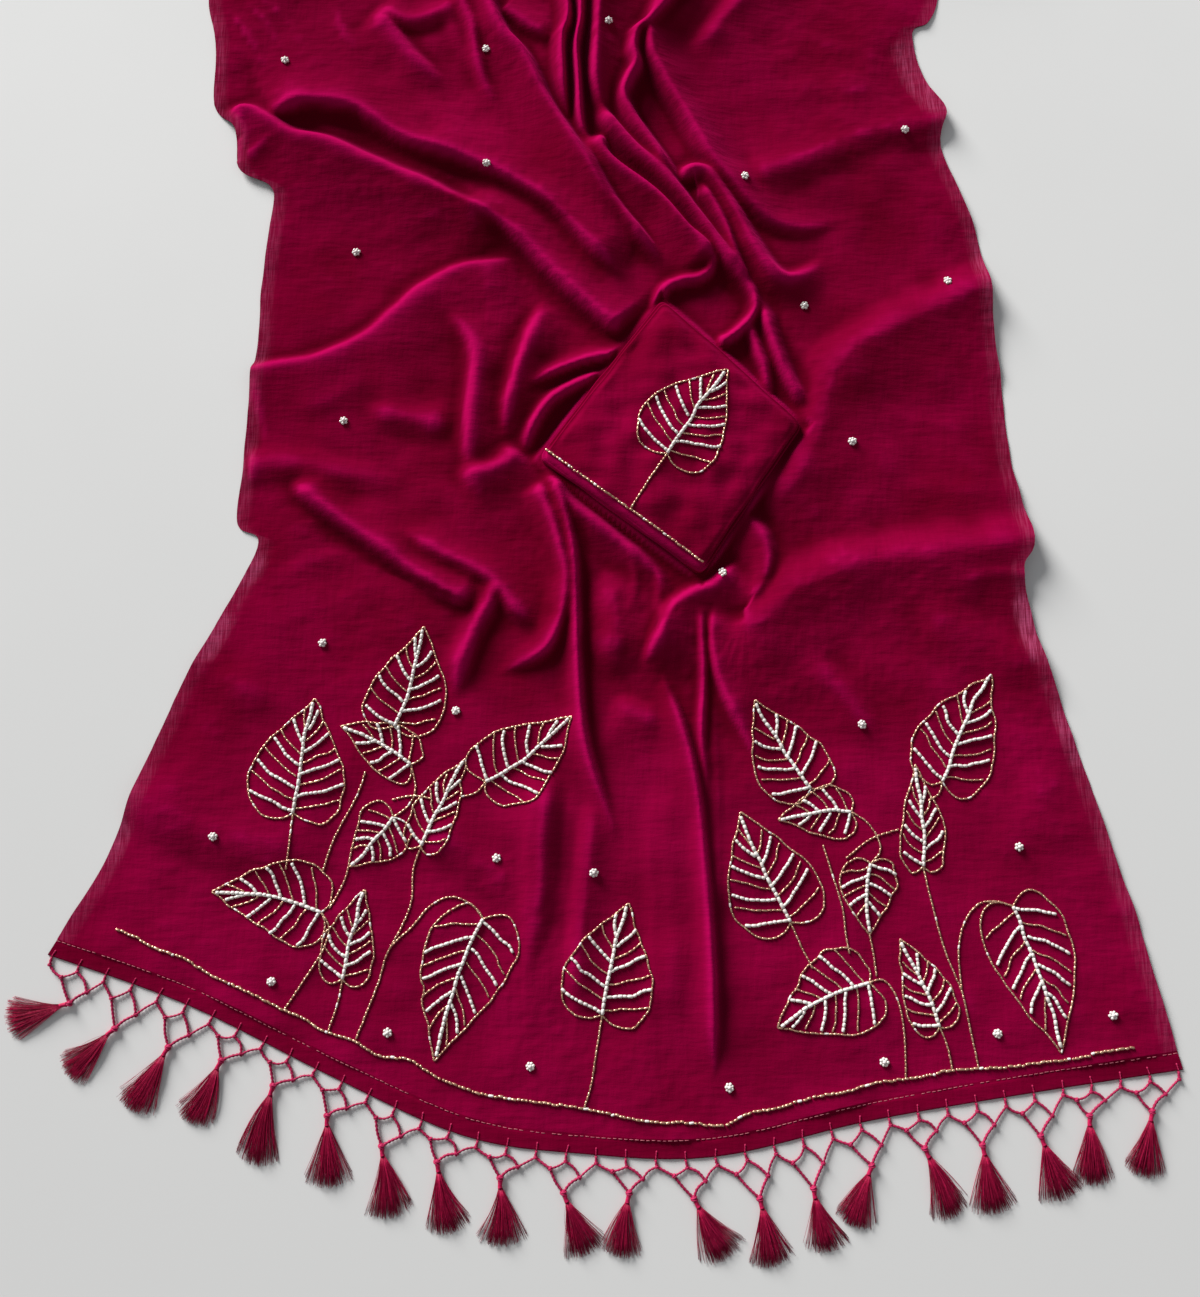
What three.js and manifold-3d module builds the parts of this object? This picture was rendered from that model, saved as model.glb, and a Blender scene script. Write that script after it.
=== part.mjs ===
// A georgette saree laid out flat, with its blouse piece folded into a square on top of it.
// The embroidered end lies spread towards -Y, where it ends in a turned hem, a knotted net and
// twenty silk tassels. The far side is gathered into long folds, and the rest of the length is
// folded to and fro into a stack. Everything rests on the plane z = 0. Millimetres, +Z up.
import * as THREE from 'three';
import { mergeVertices } from 'three/addons/utils/BufferGeometryUtils.js';
import Module from 'manifold-3d';

const wasm = await Module();
wasm.setup();

// ---- Driving dimensions (mm) ----
const CLOTH = 1.2; // wall of one layer of georgette
const SEAM_GAP = 0.3; // clearance between neighbouring pieces
const HEM_WIDTH = 17; // turned end hem
const HEM_THICKNESS = 2.2; // three layers of cloth, pressed
const LENGTH_BEFORE_STACK = 1300; // length along the selvedge from the hem to the stack
const MIDDLE_FROM = 0.3; // share of that length where the middle stretch starts
const TOP_FROM = 0.655; // and where the gathered top stretch starts

const STACK = { width: 800, length: 272, height: 36, layers: 8, round: 16, crown: 3 };
const BLOUSE = { thickness: 11.5, layers: 3, round: 9, crown: 1.5, clearance: 0.6 };
const BED = { rise: 13, drop: 8, radius: 150, margin: 12, fall: 14 }; // cloth pressed under the blouse piece

const NET = {
  units: 20, cord: 2.6, low: 0.6, high: 3.0, strip: 1.6, blunt: 0.9,
  leftKnot: 0.42, rightKnot: 0.58, // shares of the way down at which the inner knots are tied
};
const TASSEL = {
  neck: 2.3, bound: 13, axis: 3.2, // radius and length of the bound neck, and its height
  locks: 7, lockRoot: [0.45, 1.5], lockEnd: [3.4, 1.7], // width and depth of a lock of threads
  spread: 13.5, tip: 1.5, step: 1.2, // half the fan's width, and how high its ends lie
  length: 30, lengthShare: 0.8, // length of the whole, with a share of the skirt's distance
};

// The plan is drawn with its zero in the middle of the embroidered half. These two move it so
// that the whole object's bounding box is centred on the origin.
const ORIGIN = { x: 7.4, y: -295.6 };

// ---- Outline in plan: knots of smooth curves, [x, y] ----
const LEFT_EDGE = [
  [-531, -302], [-484, -213], [-433, -73], [-400, 3], [-370, 58], [-350, 112], [-373, 130], [-370, 190],
  [-366, 290], [-360, 405], [-354, 485], [-358, 512], [-393, 532], [-399, 580], [-424, 612], [-428, 690],
  [-439, 745], [-432, 820], [-409, 900],
];
const RIGHT_EDGE = [
  [551, -408], [507, -222], [473, -103], [443, 8], [428, 78], [441, 112], [425, 210], [418, 345],
  [403, 463], [373, 560], [378, 602], [360, 640], [348, 700], [366, 714], [379, 745], [390, 820], [391, 900],
];
const HEM_EDGE = [
  [-531, -302], [-393, -349], [-256, -413], [-129, -467], [-20, -483], [107, -486], [253, -454],
  [420, -427], [551, -408],
];
const BLOUSE_CORNERS = [[-65, 197], [102, 71], [211, 234], [66, 377]];

// Where the columns of the cloth grid crowd together, as shares: along the length, across the width
const GATHER_LINE = [
  { along: 0, across: 0.52 }, { along: 0.3, across: 0.52 }, { along: 0.5, across: 0.56 },
  { along: 0.66, across: 0.61 }, { along: 0.86, across: 0.54 }, { along: 1, across: 0.52 },
];

// ---- Folds ----
// rise: height of the crest; left, right: how softly it falls away on each side of its path;
// start, end: share of the path over which it rises and dies away (0 keeps its full height).
// A path is drawn as its crest looks against the floor from SIGHT, so foldLines bring it in.
const FOLDS = [
  { name: 'upper_sweep', rise: 22, left: 40, right: 9, start: 0.12, end: 0.12,
    path: [[-392, 602], [-369, 611], [-348, 620], [-319, 624], [-273, 615], [-252, 602], [-211, 575],
      [-148, 552], [-98, 528], [-60, 503], [-30, 474], [-8, 448], [8, 432], [24, 420], [44, 412]] },
  { name: 'upper_turn', rise: 21, left: 9, right: 32, start: 0.08, end: 0.18,
    path: [[-424, 604], [-394, 611], [-377, 604], [-357, 590], [-340, 581], [-298, 570], [-248, 546],
      [-198, 522], [-148, 496], [-112, 474], [-84, 450]] },
  { name: 'upper_roll', rise: 21, left: 34, right: 8, start: 0.25, end: 0.08,
    path: [[-184, 516], [-148, 500], [-112, 478], [-82, 452], [-60, 428], [-40, 406], [-16, 382],
      [28, 342]] },
  { name: 'flap_tuck', rise: 9, left: 5, right: 9, start: 0.25, end: 0.3,
    path: [[-392, 546], [-376, 556], [-362, 568], [-346, 574]] },
  { name: 'left_sweep', rise: 13, left: 8, right: 60, start: 0.05, end: 0.15,
    path: [[-385, 296], [-345, 306], [-300, 314], [-250, 338], [-218, 367], [-195, 391], [-164, 412],
      [-141, 420], [-109, 424], [-74, 433]] },
  { name: 'left_column', rise: 16, left: 17, right: 9, start: 0.4, end: 0.3,
    path: [[-186, 408], [-155, 365], [-137, 338], [-130, 312], [-132, 288], [-136, 248], [-135, 204],
      [-128, 160]] },
  { name: 'left_spur', rise: 18, left: 18, right: 9, start: 0.35, end: 0.35,
    path: [[-52, 398], [-61, 374], [-72, 345], [-84, 308], [-94, 272], [-98, 238], [-96, 210]] },
  { name: 'left_hook', rise: 15, left: 13, right: 22, start: 0.35, end: 0.2,
    path: [[-158, 178], [-130, 186], [-108, 192], [-92, 203], [-78, 218]] },
  { name: 'upper_arc', rise: 16, left: 6, right: 10, start: 0.05, end: 0.45,
    path: [[40, 318], [8, 317], [-20, 311], [-50, 300], [-76, 286], [-92, 262]] },
  { name: 'lower_arc', rise: 17, left: 7, right: 8, start: 0.05, end: 0.35,
    path: [[20, 290], [-8, 292], [-32, 282], [-52, 268], [-66, 248], [-76, 222], [-80, 196]] },
  { name: 'throat_1', rise: 28, left: 7, right: 26, start: 0.15, end: 0.3,
    path: [[-165, 872], [-138, 785], [-112, 716], [-87, 683], [-61, 628], [-35, 582], [-16, 548], [6, 505],
      [34, 458], [62, 418]] },
  { name: 'throat_1_under', rise: 23, left: 6, right: 8, start: 0.25, end: 0.3,
    path: [[-30, 590], [-8, 545], [14, 502], [40, 467], [60, 442], [76, 420]] },
  { name: 'throat_2', rise: 23, left: 4, right: 9, start: 0.2, end: 0.3,
    path: [[-62, 866], [-36, 745], [-42, 700], [-41, 660], [-37, 615], [-26, 580]] },
  { name: 'throat_3', rise: 23, left: 4, right: 5, start: 0.2, end: 0.25,
    path: [[-26, 862], [-21, 740], [-26, 692], [-24, 650], [-21, 603], [-13, 578], [-3, 552]] },
  { name: 'throat_roll', rise: 26, left: 18, right: 8, start: 0.15, end: 0.3,
    path: [[14, 870], [4, 800], [0, 745], [-3, 700], [-4, 660], [0, 632], [10, 604], [26, 584]] },
  { name: 'throat_4', rise: 25, left: 7, right: 9, start: 0.15, end: 0.15,
    path: [[-6, 632], [9, 602], [36, 567], [68, 534], [104, 487], [134, 442], [163, 398]] },
  { name: 'throat_5', rise: 26, left: 6, right: 20, start: 0.12, end: 0.15,
    path: [[0, 596], [2, 568], [13, 549], [47, 521], [68, 501], [93, 469], [111, 451], [134, 418]] },
  { name: 'throat_6', rise: 25, left: 7, right: 9, start: 0.2, end: 0.15,
    path: [[122, 868], [92, 780], [65, 730], [44, 712], [38, 690], [41, 668], [33, 650], [27, 630],
      [34, 608], [56, 571], [79, 533], [96, 504]] },
  { name: 'right_throat', rise: 24, left: 20, right: 9, start: 0.15, end: 0.45,
    path: [[92, 800], [64, 740], [57, 695], [70, 658], [97, 605], [122, 555], [146, 523], [165, 500],
      [190, 480], [222, 475], [260, 484], [312, 500]] },
  { name: 'right_u2', rise: 23, left: 9, right: 14, start: 0.1, end: 0.4,
    path: [[86, 518], [97, 535], [112, 536], [124, 525], [147, 487], [162, 455], [179, 425], [194, 411],
      [212, 411], [236, 428], [256, 456]] },
  { name: 'neck_1', rise: 20, left: 5, right: 8, start: 0.2, end: 0.15,
    path: [[102, 530], [120, 501], [136, 469], [145, 440], [162, 396]] },
  { name: 'neck_2', rise: 15, left: 6, right: 8, start: 0.2, end: 0.1,
    path: [[126, 446], [120, 418], [106, 407], [88, 404], [70, 394], [62, 368]] },
  { name: 'neck_loop', rise: 17, left: 6, right: 7, start: 0.15, end: 0.1,
    path: [[134, 442], [150, 413], [163, 393], [166, 373], [156, 354], [138, 338], [120, 330]] },
  { name: 'neck_3', rise: 17, left: 8, right: 6, start: 0.3, end: 0.2,
    path: [[166, 400], [173, 376], [181, 345], [190, 316], [202, 288], [220, 252]] },
  { name: 'neck_4', rise: 13, left: 7, right: 6, start: 0.3, end: 0.1,
    path: [[150, 372], [158, 350], [166, 326], [174, 300], [176, 270]] },
  { name: 'right_rib', rise: 12, left: 28, right: 20, start: 0.12, end: 0,
    path: [[154, 522], [184, 535], [229, 553], [300, 582], [392, 600]] },
  { name: 'right_bow', rise: 16, left: 46, right: 22, start: 0, end: 0.15,
    path: [[425, 404], [375, 381], [312, 350], [278, 332], [250, 305], [240, 276], [233, 248], [221, 214],
      [204, 180], [184, 155], [158, 134]] },
  { name: 'right_long', rise: 19, left: 46, right: 24, start: 0, end: 0.12,
    path: [[460, 118], [412, 108], [337, 100], [262, 87], [203, 65], [187, 52], [168, 33], [147, 24],
      [134, 32], [130, 48]] },
  { name: 'corner_loop', rise: 14, left: 8, right: 22, start: 0.35, end: 0.3,
    path: [[126, 150], [148, 140], [166, 122], [172, 98], [167, 74], [152, 50], [130, 26]] },
  { name: 'centre_flare', rise: 18, left: 26, right: 8, start: 0.2, end: 0.3,
    path: [[152, 98], [132, 80], [114, 66], [94, 58], [76, 44], [64, 20], [53, -4], [40, -32]] },
  { name: 'left_flare', rise: 16, left: 7, right: 12, start: 0.08, end: 0.4,
    path: [[-68, 186], [-54, 146], [-42, 108], [-36, 82], [-36, 56], [-41, 30], [-50, 8], [-62, -4],
      [-82, -14], [-128, -34]] },
  { name: 'centre_cord', rise: 17, left: 5, right: 10, start: 0.05, end: 0.35,
    path: [[-50, 200], [-42, 166], [-31, 122], [-26, 91], [-24, 45], [-23, 0], [-21, -40], [-18, -75],
      [-12, -105], [-2, -138], [13, -180], [30, -226]] },
  { name: 'centre_swell', rise: 14, left: 22, right: 18, start: 0.35, end: 0.4,
    path: [[-6, 96], [12, 58], [16, 10], [14, -46]] },
  { name: 'centre_bowl', rise: 9, left: 14, right: 26, start: 0.4, end: 0.4,
    path: [[2, -46], [28, -64], [54, -74], [78, -76]] },
  { name: 'blouse_shelf', rise: 16, left: 7, right: 12, start: 0.08, end: 0.5,
    path: [[-52, 184], [-34, 158], [-10, 138], [15, 118], [40, 97], [60, 76], [72, 50], [76, 24]] },
  { name: 'hem_fold', rise: 15, left: 5, right: 16, start: 0.2, end: 0.2,
    path: [[56, -6], [68, -42], [80, -74], [90, -110], [97, -150], [101, -200], [107, -300], [109, -440]] },
  { name: 'hem_fold_mid', rise: 12, left: 5, right: 5, start: 0.15, end: 0.5,
    path: [[101, 60], [103, 20], [104, -32], [101, -90], [105, -128], [109, -190]] },
  { name: 'hem_fold_edge', rise: 14, left: 22, right: 5, start: 0.15, end: 0.45,
    path: [[118, 56], [115, 30], [114, 4], [120, -30], [131, -58], [146, -90], [168, -140]] },
  { name: 'right_soft_1', rise: 8, left: 14, right: 22, start: 0.3, end: 0.45,
    path: [[196, 8], [214, -14], [238, -42], [268, -78], [296, -112]] },
  { name: 'right_soft_2', rise: 9, left: 24, right: 24, start: 0.3, end: 0,
    path: [[300, 62], [345, 28], [475, -28]] },
  { name: 'right_tab', rise: 10, left: 14, right: 8, start: 0, end: 0.4,
    path: [[440, 76], [400, 77], [375, 71], [350, 58]] },
  { name: 'left_tuck', rise: 17, left: 24, right: 8, start: 0.14, end: 0.12,
    path: [[-330, 184], [-312, 172], [-295, 158], [-264, 135], [-232, 113], [-195, 86], [-160, 64],
      [-118, 44]] },
  { name: 'left_tuck_2', rise: 15, left: 16, right: 9, start: 0.3, end: 0.2,
    path: [[-226, 142], [-204, 128], [-182, 113], [-160, 100], [-132, 87], [-112, 75], [-98, 60], [-84, 41],
      [-68, 27], [-52, 25], [-42, 40]] },
  { name: 'left_fall', rise: 13, left: 10, right: 12, start: 0.1, end: 0.45,
    path: [[-108, 76], [-113, 50], [-128, 20], [-142, -20], [-150, -70]] },
  { name: 'left_rib', rise: 10, left: 16, right: 16, start: 0.05, end: 0.35,
    path: [[-372, 194], [-320, 196], [-270, 186], [-225, 174], [-185, 160]] },
  { name: 'left_bump', rise: 11, left: 20, right: 15, start: 0.35, end: 0.3,
    path: [[-262, 262], [-241, 258], [-205, 250], [-173, 241], [-146, 224]] },
  { name: 'pallu_wave_1', rise: 10, left: 40, right: 26, start: 0, end: 0.4,
    path: [[-480, -138], [-360, -188], [-230, -205]] },
  { name: 'pallu_wave_2', rise: 6, left: 30, right: 26, start: 0.1, end: 0.4,
    path: [[-420, -10], [-370, -35], [-300, -60]] },
  { name: 'pallu_wave_3', rise: 8, left: 28, right: 20, start: 0.3, end: 0.3,
    path: [[-195, -183], [-140, -200], [-100, -225], [-72, -265]] },
  { name: 'pallu_fold_1', rise: 13, left: 12, right: 22, start: 0.25, end: 0.4,
    path: [[-44, -104], [-54, -150], [-58, -190], [-60, -240], [-74, -340]] },
  { name: 'pallu_fold_2', rise: 9, left: 14, right: 12, start: 0.3, end: 0.4,
    path: [[-2, -110], [-12, -220], [-22, -320], [-20, -410]] },
  { name: 'pallu_fold_3', rise: 8, left: 20, right: 20, start: 0.3, end: 0.4,
    path: [[48, -90], [62, -150], [70, -230], [70, -430]] },
  { name: 'top_spur', rise: 15, left: 8, right: 26, start: 0.2, end: 0.5,
    path: [[-262, 742], [-245, 723], [-232, 707], [-213, 680], [-188, 655], [-160, 618]] },
  { name: 'top_shelf', rise: 12, left: 16, right: 12, start: 0.25, end: 0.2,
    path: [[-262, 742], [-236, 730], [-217, 722], [-196, 725], [-176, 733], [-150, 744]] },
  { name: 'throat_0', rise: 17, left: 6, right: 9, start: 0.15, end: 0.5,
    path: [[-190, 868], [-168, 790], [-152, 738], [-143, 714], [-139, 690], [-131, 655], [-120, 628],
      [-100, 590], [-84, 560]] },
  { name: 'top_tick', rise: 10, left: 16, right: 8, start: 0.15, end: 0.35,
    path: [[-116, 738], [-94, 724], [-71, 708], [-44, 698]] },
  { name: 'top_right_spur', rise: 14, left: 24, right: 14, start: 0.15, end: 0.3,
    path: [[182, 830], [172, 775], [156, 742], [140, 724], [126, 702], [112, 693], [96, 692], [80, 700]] },
];
const SIGHT = { x: 0, y: -283.2, height: 1329.8 };
const FLANK = 1.25; // reach of a fold's flank, as a share of its softness
const FINEST = 6.5; // the tightest flank that the sections can carry
const STEEP = 9; // flanks up to this softness fall away round as an S
const BROAD = 1.12; // and softer ones run out in a long slope, with this power
const CREST_ROUND = 2; // radius that takes the edge off such a slope's crest
const CROSSING = 3; // how sharply the higher of two crossing folds wins
const PRESSED = 1.2; // lower ripples than this lie pressed on the floor
const LIFT = 2.5; // height over which cloth leaves the floor

// ---- Tassels: head in plan, and the middle of the skirt, which gives direction and length ----
const TASSELS = [
  { head: [-506, -347], skirt: [-543, -358] }, { head: [-461, -370], skirt: [-488, -395] },
  { head: [-409, -387], skirt: [-429, -426] }, { head: [-358, -399], skirt: [-375, -435] },
  { head: [-308, -422], skirt: [-320, -472] }, { head: [-256, -449], skirt: [-254, -490] },
  { head: [-204, -476], skirt: [-197, -517] }, { head: [-152, -490], skirt: [-143, -531] },
  { head: [-93, -504], skirt: [-91, -540] }, { head: [-34, -517], skirt: [-20, -549] },
  { head: [27, -517], skirt: [21, -549] }, { head: [87, -522], skirt: [105, -554] },
  { head: [148, -522], skirt: [157, -558] }, { head: [198, -513], skirt: [203, -545] },
  { head: [253, -493], skirt: [241, -524] }, { head: [303, -478], skirt: [321, -517] },
  { head: [357, -475], skirt: [364, -513] }, { head: [412, -467], skirt: [424, -501] },
  { head: [459, -449], skirt: [457, -488] }, { head: [518, -445], skirt: [510, -481] },
];

// ---- Curves in plan ----
function smoothLine(knots, stepsPerKnot = 6) {
  const curve = new THREE.SplineCurve(knots.map(([x, y]) => new THREE.Vector2(x, y)));
  return curve.getPoints(stepsPerKnot * (knots.length - 1));
}

// A line with the distance run at each of its points
function measured(points) {
  const run = [0];
  for (let i = 1; i < points.length; i++) run.push(run[i - 1] + points[i].distanceTo(points[i - 1]));
  return { points, run, total: run[run.length - 1] };
}

function pointAt(line, share) {
  const distance = share * line.total;
  let i = 1;
  while (i < line.run.length - 1 && line.run[i] < distance) i++;
  const part = (distance - line.run[i - 1]) / (line.run[i] - line.run[i - 1]);
  return line.points[i - 1].clone().lerp(line.points[i], part);
}

const leftEdge = measured(smoothLine(LEFT_EDGE));
const rightEdge = measured(smoothLine(RIGHT_EDGE));
const hemEdge = measured(smoothLine(HEM_EDGE));
const farEdge = measured([leftEdge.points.at(-1), rightEdge.points.at(-1)]);

// A point of the cloth in plan, from its share across the width and its share of the length
function planPoint(across, along) {
  const sides = pointAt(leftEdge, along).lerp(pointAt(rightEdge, along), across);
  const ends = pointAt(hemEdge, across).lerp(pointAt(farEdge, across), along);
  const nearCorners = hemEdge.points[0].clone().lerp(hemEdge.points.at(-1), across);
  const farCorners = farEdge.points[0].clone().lerp(farEdge.points[1], across);
  return sides.add(ends).sub(nearCorners.lerp(farCorners, along));
}

// ---- The drape: height of the cloth's underside above the floor ----
const smoothStep = (t) => THREE.MathUtils.smoothstep(t, 0, 1);
const foldLines = FOLDS.map(({ rise, path }) => {
  const share = Math.max(0, rise - PRESSED - LIFT / 2) / SIGHT.height;
  const crest = path.map(([x, y]) => [x + (SIGHT.x - x) * share, y + (SIGHT.y - y) * share]);
  return measured(smoothLine(crest));
});

// Distance from a line, share run along it, and whether the point lies on its left
function besideLine(x, y, line) {
  let best = { squared: Infinity, share: 0, isLeft: false };
  for (let i = 1; i < line.points.length; i++) {
    const a = line.points[i - 1];
    const b = line.points[i];
    const dx = b.x - a.x;
    const dy = b.y - a.y;
    const t = THREE.MathUtils.clamp(((x - a.x) * dx + (y - a.y) * dy) / (dx * dx + dy * dy), 0, 1);
    const ex = x - a.x - t * dx;
    const ey = y - a.y - t * dy;
    const squared = ex * ex + ey * ey;
    if (squared < best.squared) {
      const share = (line.run[i - 1] + t * (line.run[i] - line.run[i - 1])) / line.total;
      best = { squared, share, isLeft: dx * ey - dy * ex > 0 };
    }
  }
  return best;
}

function foldRise(x, y, fold, line) {
  const beside = besideLine(x, y, line);
  const softness = beside.isLeft ? fold.left : fold.right;
  const rises = fold.start > 0 ? smoothStep(beside.share / fold.start) : 1;
  const dies = fold.end > 0 ? smoothStep((1 - beside.share) / fold.end) : 1;
  const isSteep = softness <= Math.max(STEEP, Math.min(fold.left, fold.right));
  const distance = isSteep ? Math.sqrt(beside.squared)
    : Math.sqrt(beside.squared + CREST_ROUND * CREST_ROUND) - CREST_ROUND;
  const away = distance / (FLANK * Math.max(FINEST, softness));
  return fold.rise * rises * dies * Math.exp(-(away ** (isSteep ? 2 : BROAD)));
}

// How far inside the blouse piece's outline a point lies; negative outside
function insideBlouse(x, y) {
  const depths = BLOUSE_CORNERS.map(([ax, ay], i) => {
    const [bx, by] = BLOUSE_CORNERS[(i + 1) % BLOUSE_CORNERS.length];
    return ((bx - ax) * (y - ay) - (by - ay) * (x - ax)) / Math.hypot(bx - ax, by - ay);
  });
  return Math.min(...depths);
}

const blouseCentre = {
  x: BLOUSE_CORNERS.reduce((sum, corner) => sum + corner[0], 0) / BLOUSE_CORNERS.length,
  y: BLOUSE_CORNERS.reduce((sum, corner) => sum + corner[1], 0) / BLOUSE_CORNERS.length,
};

function bedHeight(x, y) {
  const away = Math.hypot(x - blouseCentre.x, y - blouseCentre.y) / BED.radius;
  return BED.rise - BED.drop * away * away;
}

function drapeHeight(x, y) {
  let sum = 0;
  FOLDS.forEach((fold, i) => {
    sum += foldRise(x, y, fold, foldLines[i]) ** CROSSING;
  });
  const lifted = Math.max(0, sum ** (1 / CROSSING) - PRESSED);
  const folded = lifted < LIFT ? (lifted * lifted) / (2 * LIFT) : lifted - LIFT / 2;
  const outside = -insideBlouse(x, y) - BED.margin;
  const pressed = 1 - smoothStep(outside / BED.fall);
  return THREE.MathUtils.lerp(folded, bedHeight(x, y), pressed);
}

// Upright measure of a wall whose true thickness is given, where the cloth slopes
function uprightThickness(x, y, thickness) {
  const step = 1.5; // reach over which the slope is taken
  const steepest = 2.4; // a wall on a steeper slope than this would show its grid
  const slopeX = (drapeHeight(x + step, y) - drapeHeight(x - step, y)) / (2 * step);
  const slopeY = (drapeHeight(x, y + step) - drapeHeight(x, y - step)) / (2 * step);
  return thickness * Math.min(steepest, Math.hypot(slopeX, slopeY, 1));
}

// ---- Solids from grids and rings ----
function meshGeometry(positions, triangles) {
  const geometry = new THREE.BufferGeometry();
  geometry.setAttribute('position', new THREE.Float32BufferAttribute(positions.flat(), 3));
  geometry.setIndex(triangles.flat());
  return geometry;
}

const fromPlan = (x, y, z) => [x + ORIGIN.x, y + ORIGIN.y, z];

// Shares across the width, crowded around one of them
function columnShares(count, centre, crowding) {
  const samples = 200;
  const width = 0.16; // share of the width over which they crowd
  const run = [0];
  for (let i = 1; i <= samples; i++) {
    const away = ((i - 0.5) / samples - centre) / width;
    run.push(run[i - 1] + 1 + crowding * Math.exp(-away * away));
  }
  const shares = [];
  let i = 1;
  for (let c = 0; c <= count; c++) {
    const target = (c / count) * run[samples];
    while (i < samples && run[i] < target) i++;
    shares.push((i - 1 + (target - run[i - 1]) / (run[i] - run[i - 1])) / samples);
  }
  return shares;
}

function gatherCentre(along) {
  const next = Math.max(1, GATHER_LINE.findIndex((row) => row.along >= along));
  const a = GATHER_LINE[next - 1];
  const b = GATHER_LINE[next];
  return a.across + ((b.across - a.across) * (along - a.along)) / (b.along - a.along);
}

// A wall of cloth between two shares of the length: sections across it, one after the other
function clothWall({ from, to, sections, columns, crowding, thickness }) {
  const positions = [];
  const triangles = [];
  const wide = columns + 1;
  for (let s = 0; s <= sections; s++) {
    const along = from + ((to - from) * s) / sections;
    for (const across of columnShares(columns, gatherCentre(along), crowding)) {
      const { x, y } = planPoint(across, along);
      const low = drapeHeight(x, y);
      positions.push(fromPlan(x, y, low), fromPlan(x, y, low + uprightThickness(x, y, thickness)));
    }
  }
  const low = (s, c) => 2 * (s * wide + c);
  const high = (s, c) => low(s, c) + 1;
  for (let s = 0; s < sections; s++) {
    for (let c = 0; c < columns; c++) {
      const [a, b, d, e] = [high(s, c), high(s, c + 1), high(s + 1, c + 1), high(s + 1, c)];
      triangles.push([a, b, d], [a, d, e], [a - 1, d - 1, b - 1], [a - 1, e - 1, d - 1]);
    }
    triangles.push([low(s, 0), high(s, 0), high(s + 1, 0)], [low(s, 0), high(s + 1, 0), low(s + 1, 0)]);
    const c = columns;
    triangles.push([low(s, c), high(s + 1, c), high(s, c)], [low(s, c), low(s + 1, c), high(s + 1, c)]);
  }
  for (let c = 0; c < columns; c++) {
    const s = sections;
    triangles.push([low(0, c), low(0, c + 1), high(0, c + 1)], [low(0, c), high(0, c + 1), high(0, c)]);
    triangles.push([low(s, c), high(s, c + 1), low(s, c + 1)], [low(s, c), high(s, c), high(s, c + 1)]);
  }
  return meshGeometry(positions, triangles);
}

// Each side of an anticlockwise outline moved inwards by its own inset
function movedSides(outline, insets) {
  const sides = outline.map((point, i) => {
    const direction = outline[(i + 1) % outline.length].clone().sub(point).normalize();
    const inwards = new THREE.Vector2(-direction.y, direction.x);
    return { start: point.clone().addScaledVector(inwards, insets[i]), direction };
  });
  return sides.map((side, i) => {
    const before = sides.at(i - 1);
    const between = side.start.clone().sub(before.start);
    const reach = between.cross(side.direction) / before.direction.cross(side.direction);
    return before.start.clone().addScaledVector(before.direction, reach);
  });
}

// Outline of a four-cornered fold, drawn in by an inset, with rounded corners, anticlockwise
function roundedQuad(corners, inset, round, perCorner = 3, perEdge = 3) {
  const drawn = movedSides(corners.map(([x, y]) => new THREE.Vector2(x, y)), corners.map(() => inset));
  const outline = [];
  drawn.forEach((corner, i) => {
    const previous = drawn.at(i - 1);
    const next = drawn[(i + 1) % drawn.length];
    const onwards = next.clone().sub(corner).normalize().multiplyScalar(round);
    const back = previous.clone().sub(corner).normalize().multiplyScalar(round);
    const before = corner.clone().add(back);
    const after = corner.clone().add(onwards);
    outline.push(...new THREE.QuadraticBezierCurve(before, corner, after).getPoints(perCorner));
    const edgeEnd = next.clone().sub(onwards);
    for (let k = 1; k < perEdge; k++) outline.push(after.clone().lerp(edgeEnd, k / perEdge));
  });
  return outline;
}

// A folded stack: bulging layers up its sides, a crowned top, and a base that follows a seat
function foldedStack({ corners, height, layers, round, crown, seat }) {
  const bulge = 1.6; // depth of the groove between two layers
  const stagger = 0.8; // every second layer lies this much further in
  const levels = [{ z: 0, inset: 2 * bulge }];
  for (let i = 0; i < layers; i++) {
    levels.push({ z: ((i + 0.5) * height) / layers, inset: (i % 2) * stagger });
    levels.push({ z: ((i + 1) * height) / layers, inset: i === layers - 1 ? 2 * bulge : bulge });
  }
  const centre = {
    x: corners.reduce((sum, corner) => sum + corner[0], 0) / 4,
    y: corners.reduce((sum, corner) => sum + corner[1], 0) / 4,
  };
  const ringAt = ({ z, inset }, scale = 1) => roundedQuad(corners, inset, round).map((p) => {
    const x = centre.x + (p.x - centre.x) * scale;
    const y = centre.y + (p.y - centre.y) * scale;
    return fromPlan(x, y, seat(x, y) + z);
  });
  const base = levels[0];
  const top = levels.at(-1);
  const rings = [ringAt(base, 0.35), ringAt(base, 0.7), ...levels.map((level) => ringAt(level))];
  for (const scale of [0.93, 0.7, 0.35]) {
    rings.push(ringAt({ z: top.z + crown * (1 - scale * scale), inset: top.inset }, scale));
  }
  const count = rings[0].length;
  const positions = rings.flat();
  const triangles = [];
  for (let r = 0; r < rings.length - 1; r++) {
    for (let i = 0; i < count; i++) {
      const j = (i + 1) % count;
      const [a, b, c, d] = [r * count + i, r * count + j, (r + 1) * count + j, (r + 1) * count + i];
      triangles.push([a, b, c], [a, c, d]);
    }
  }
  const middle = seat(centre.x, centre.y);
  const under = positions.push(fromPlan(centre.x, centre.y, middle)) - 1;
  const over = positions.push(fromPlan(centre.x, centre.y, middle + top.z + crown)) - 1;
  const last = (rings.length - 1) * count;
  for (let i = 0; i < count; i++) {
    const j = (i + 1) % count;
    triangles.push([under, j, i], [over, last + i, last + j]);
  }
  return meshGeometry(positions, triangles);
}

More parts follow.
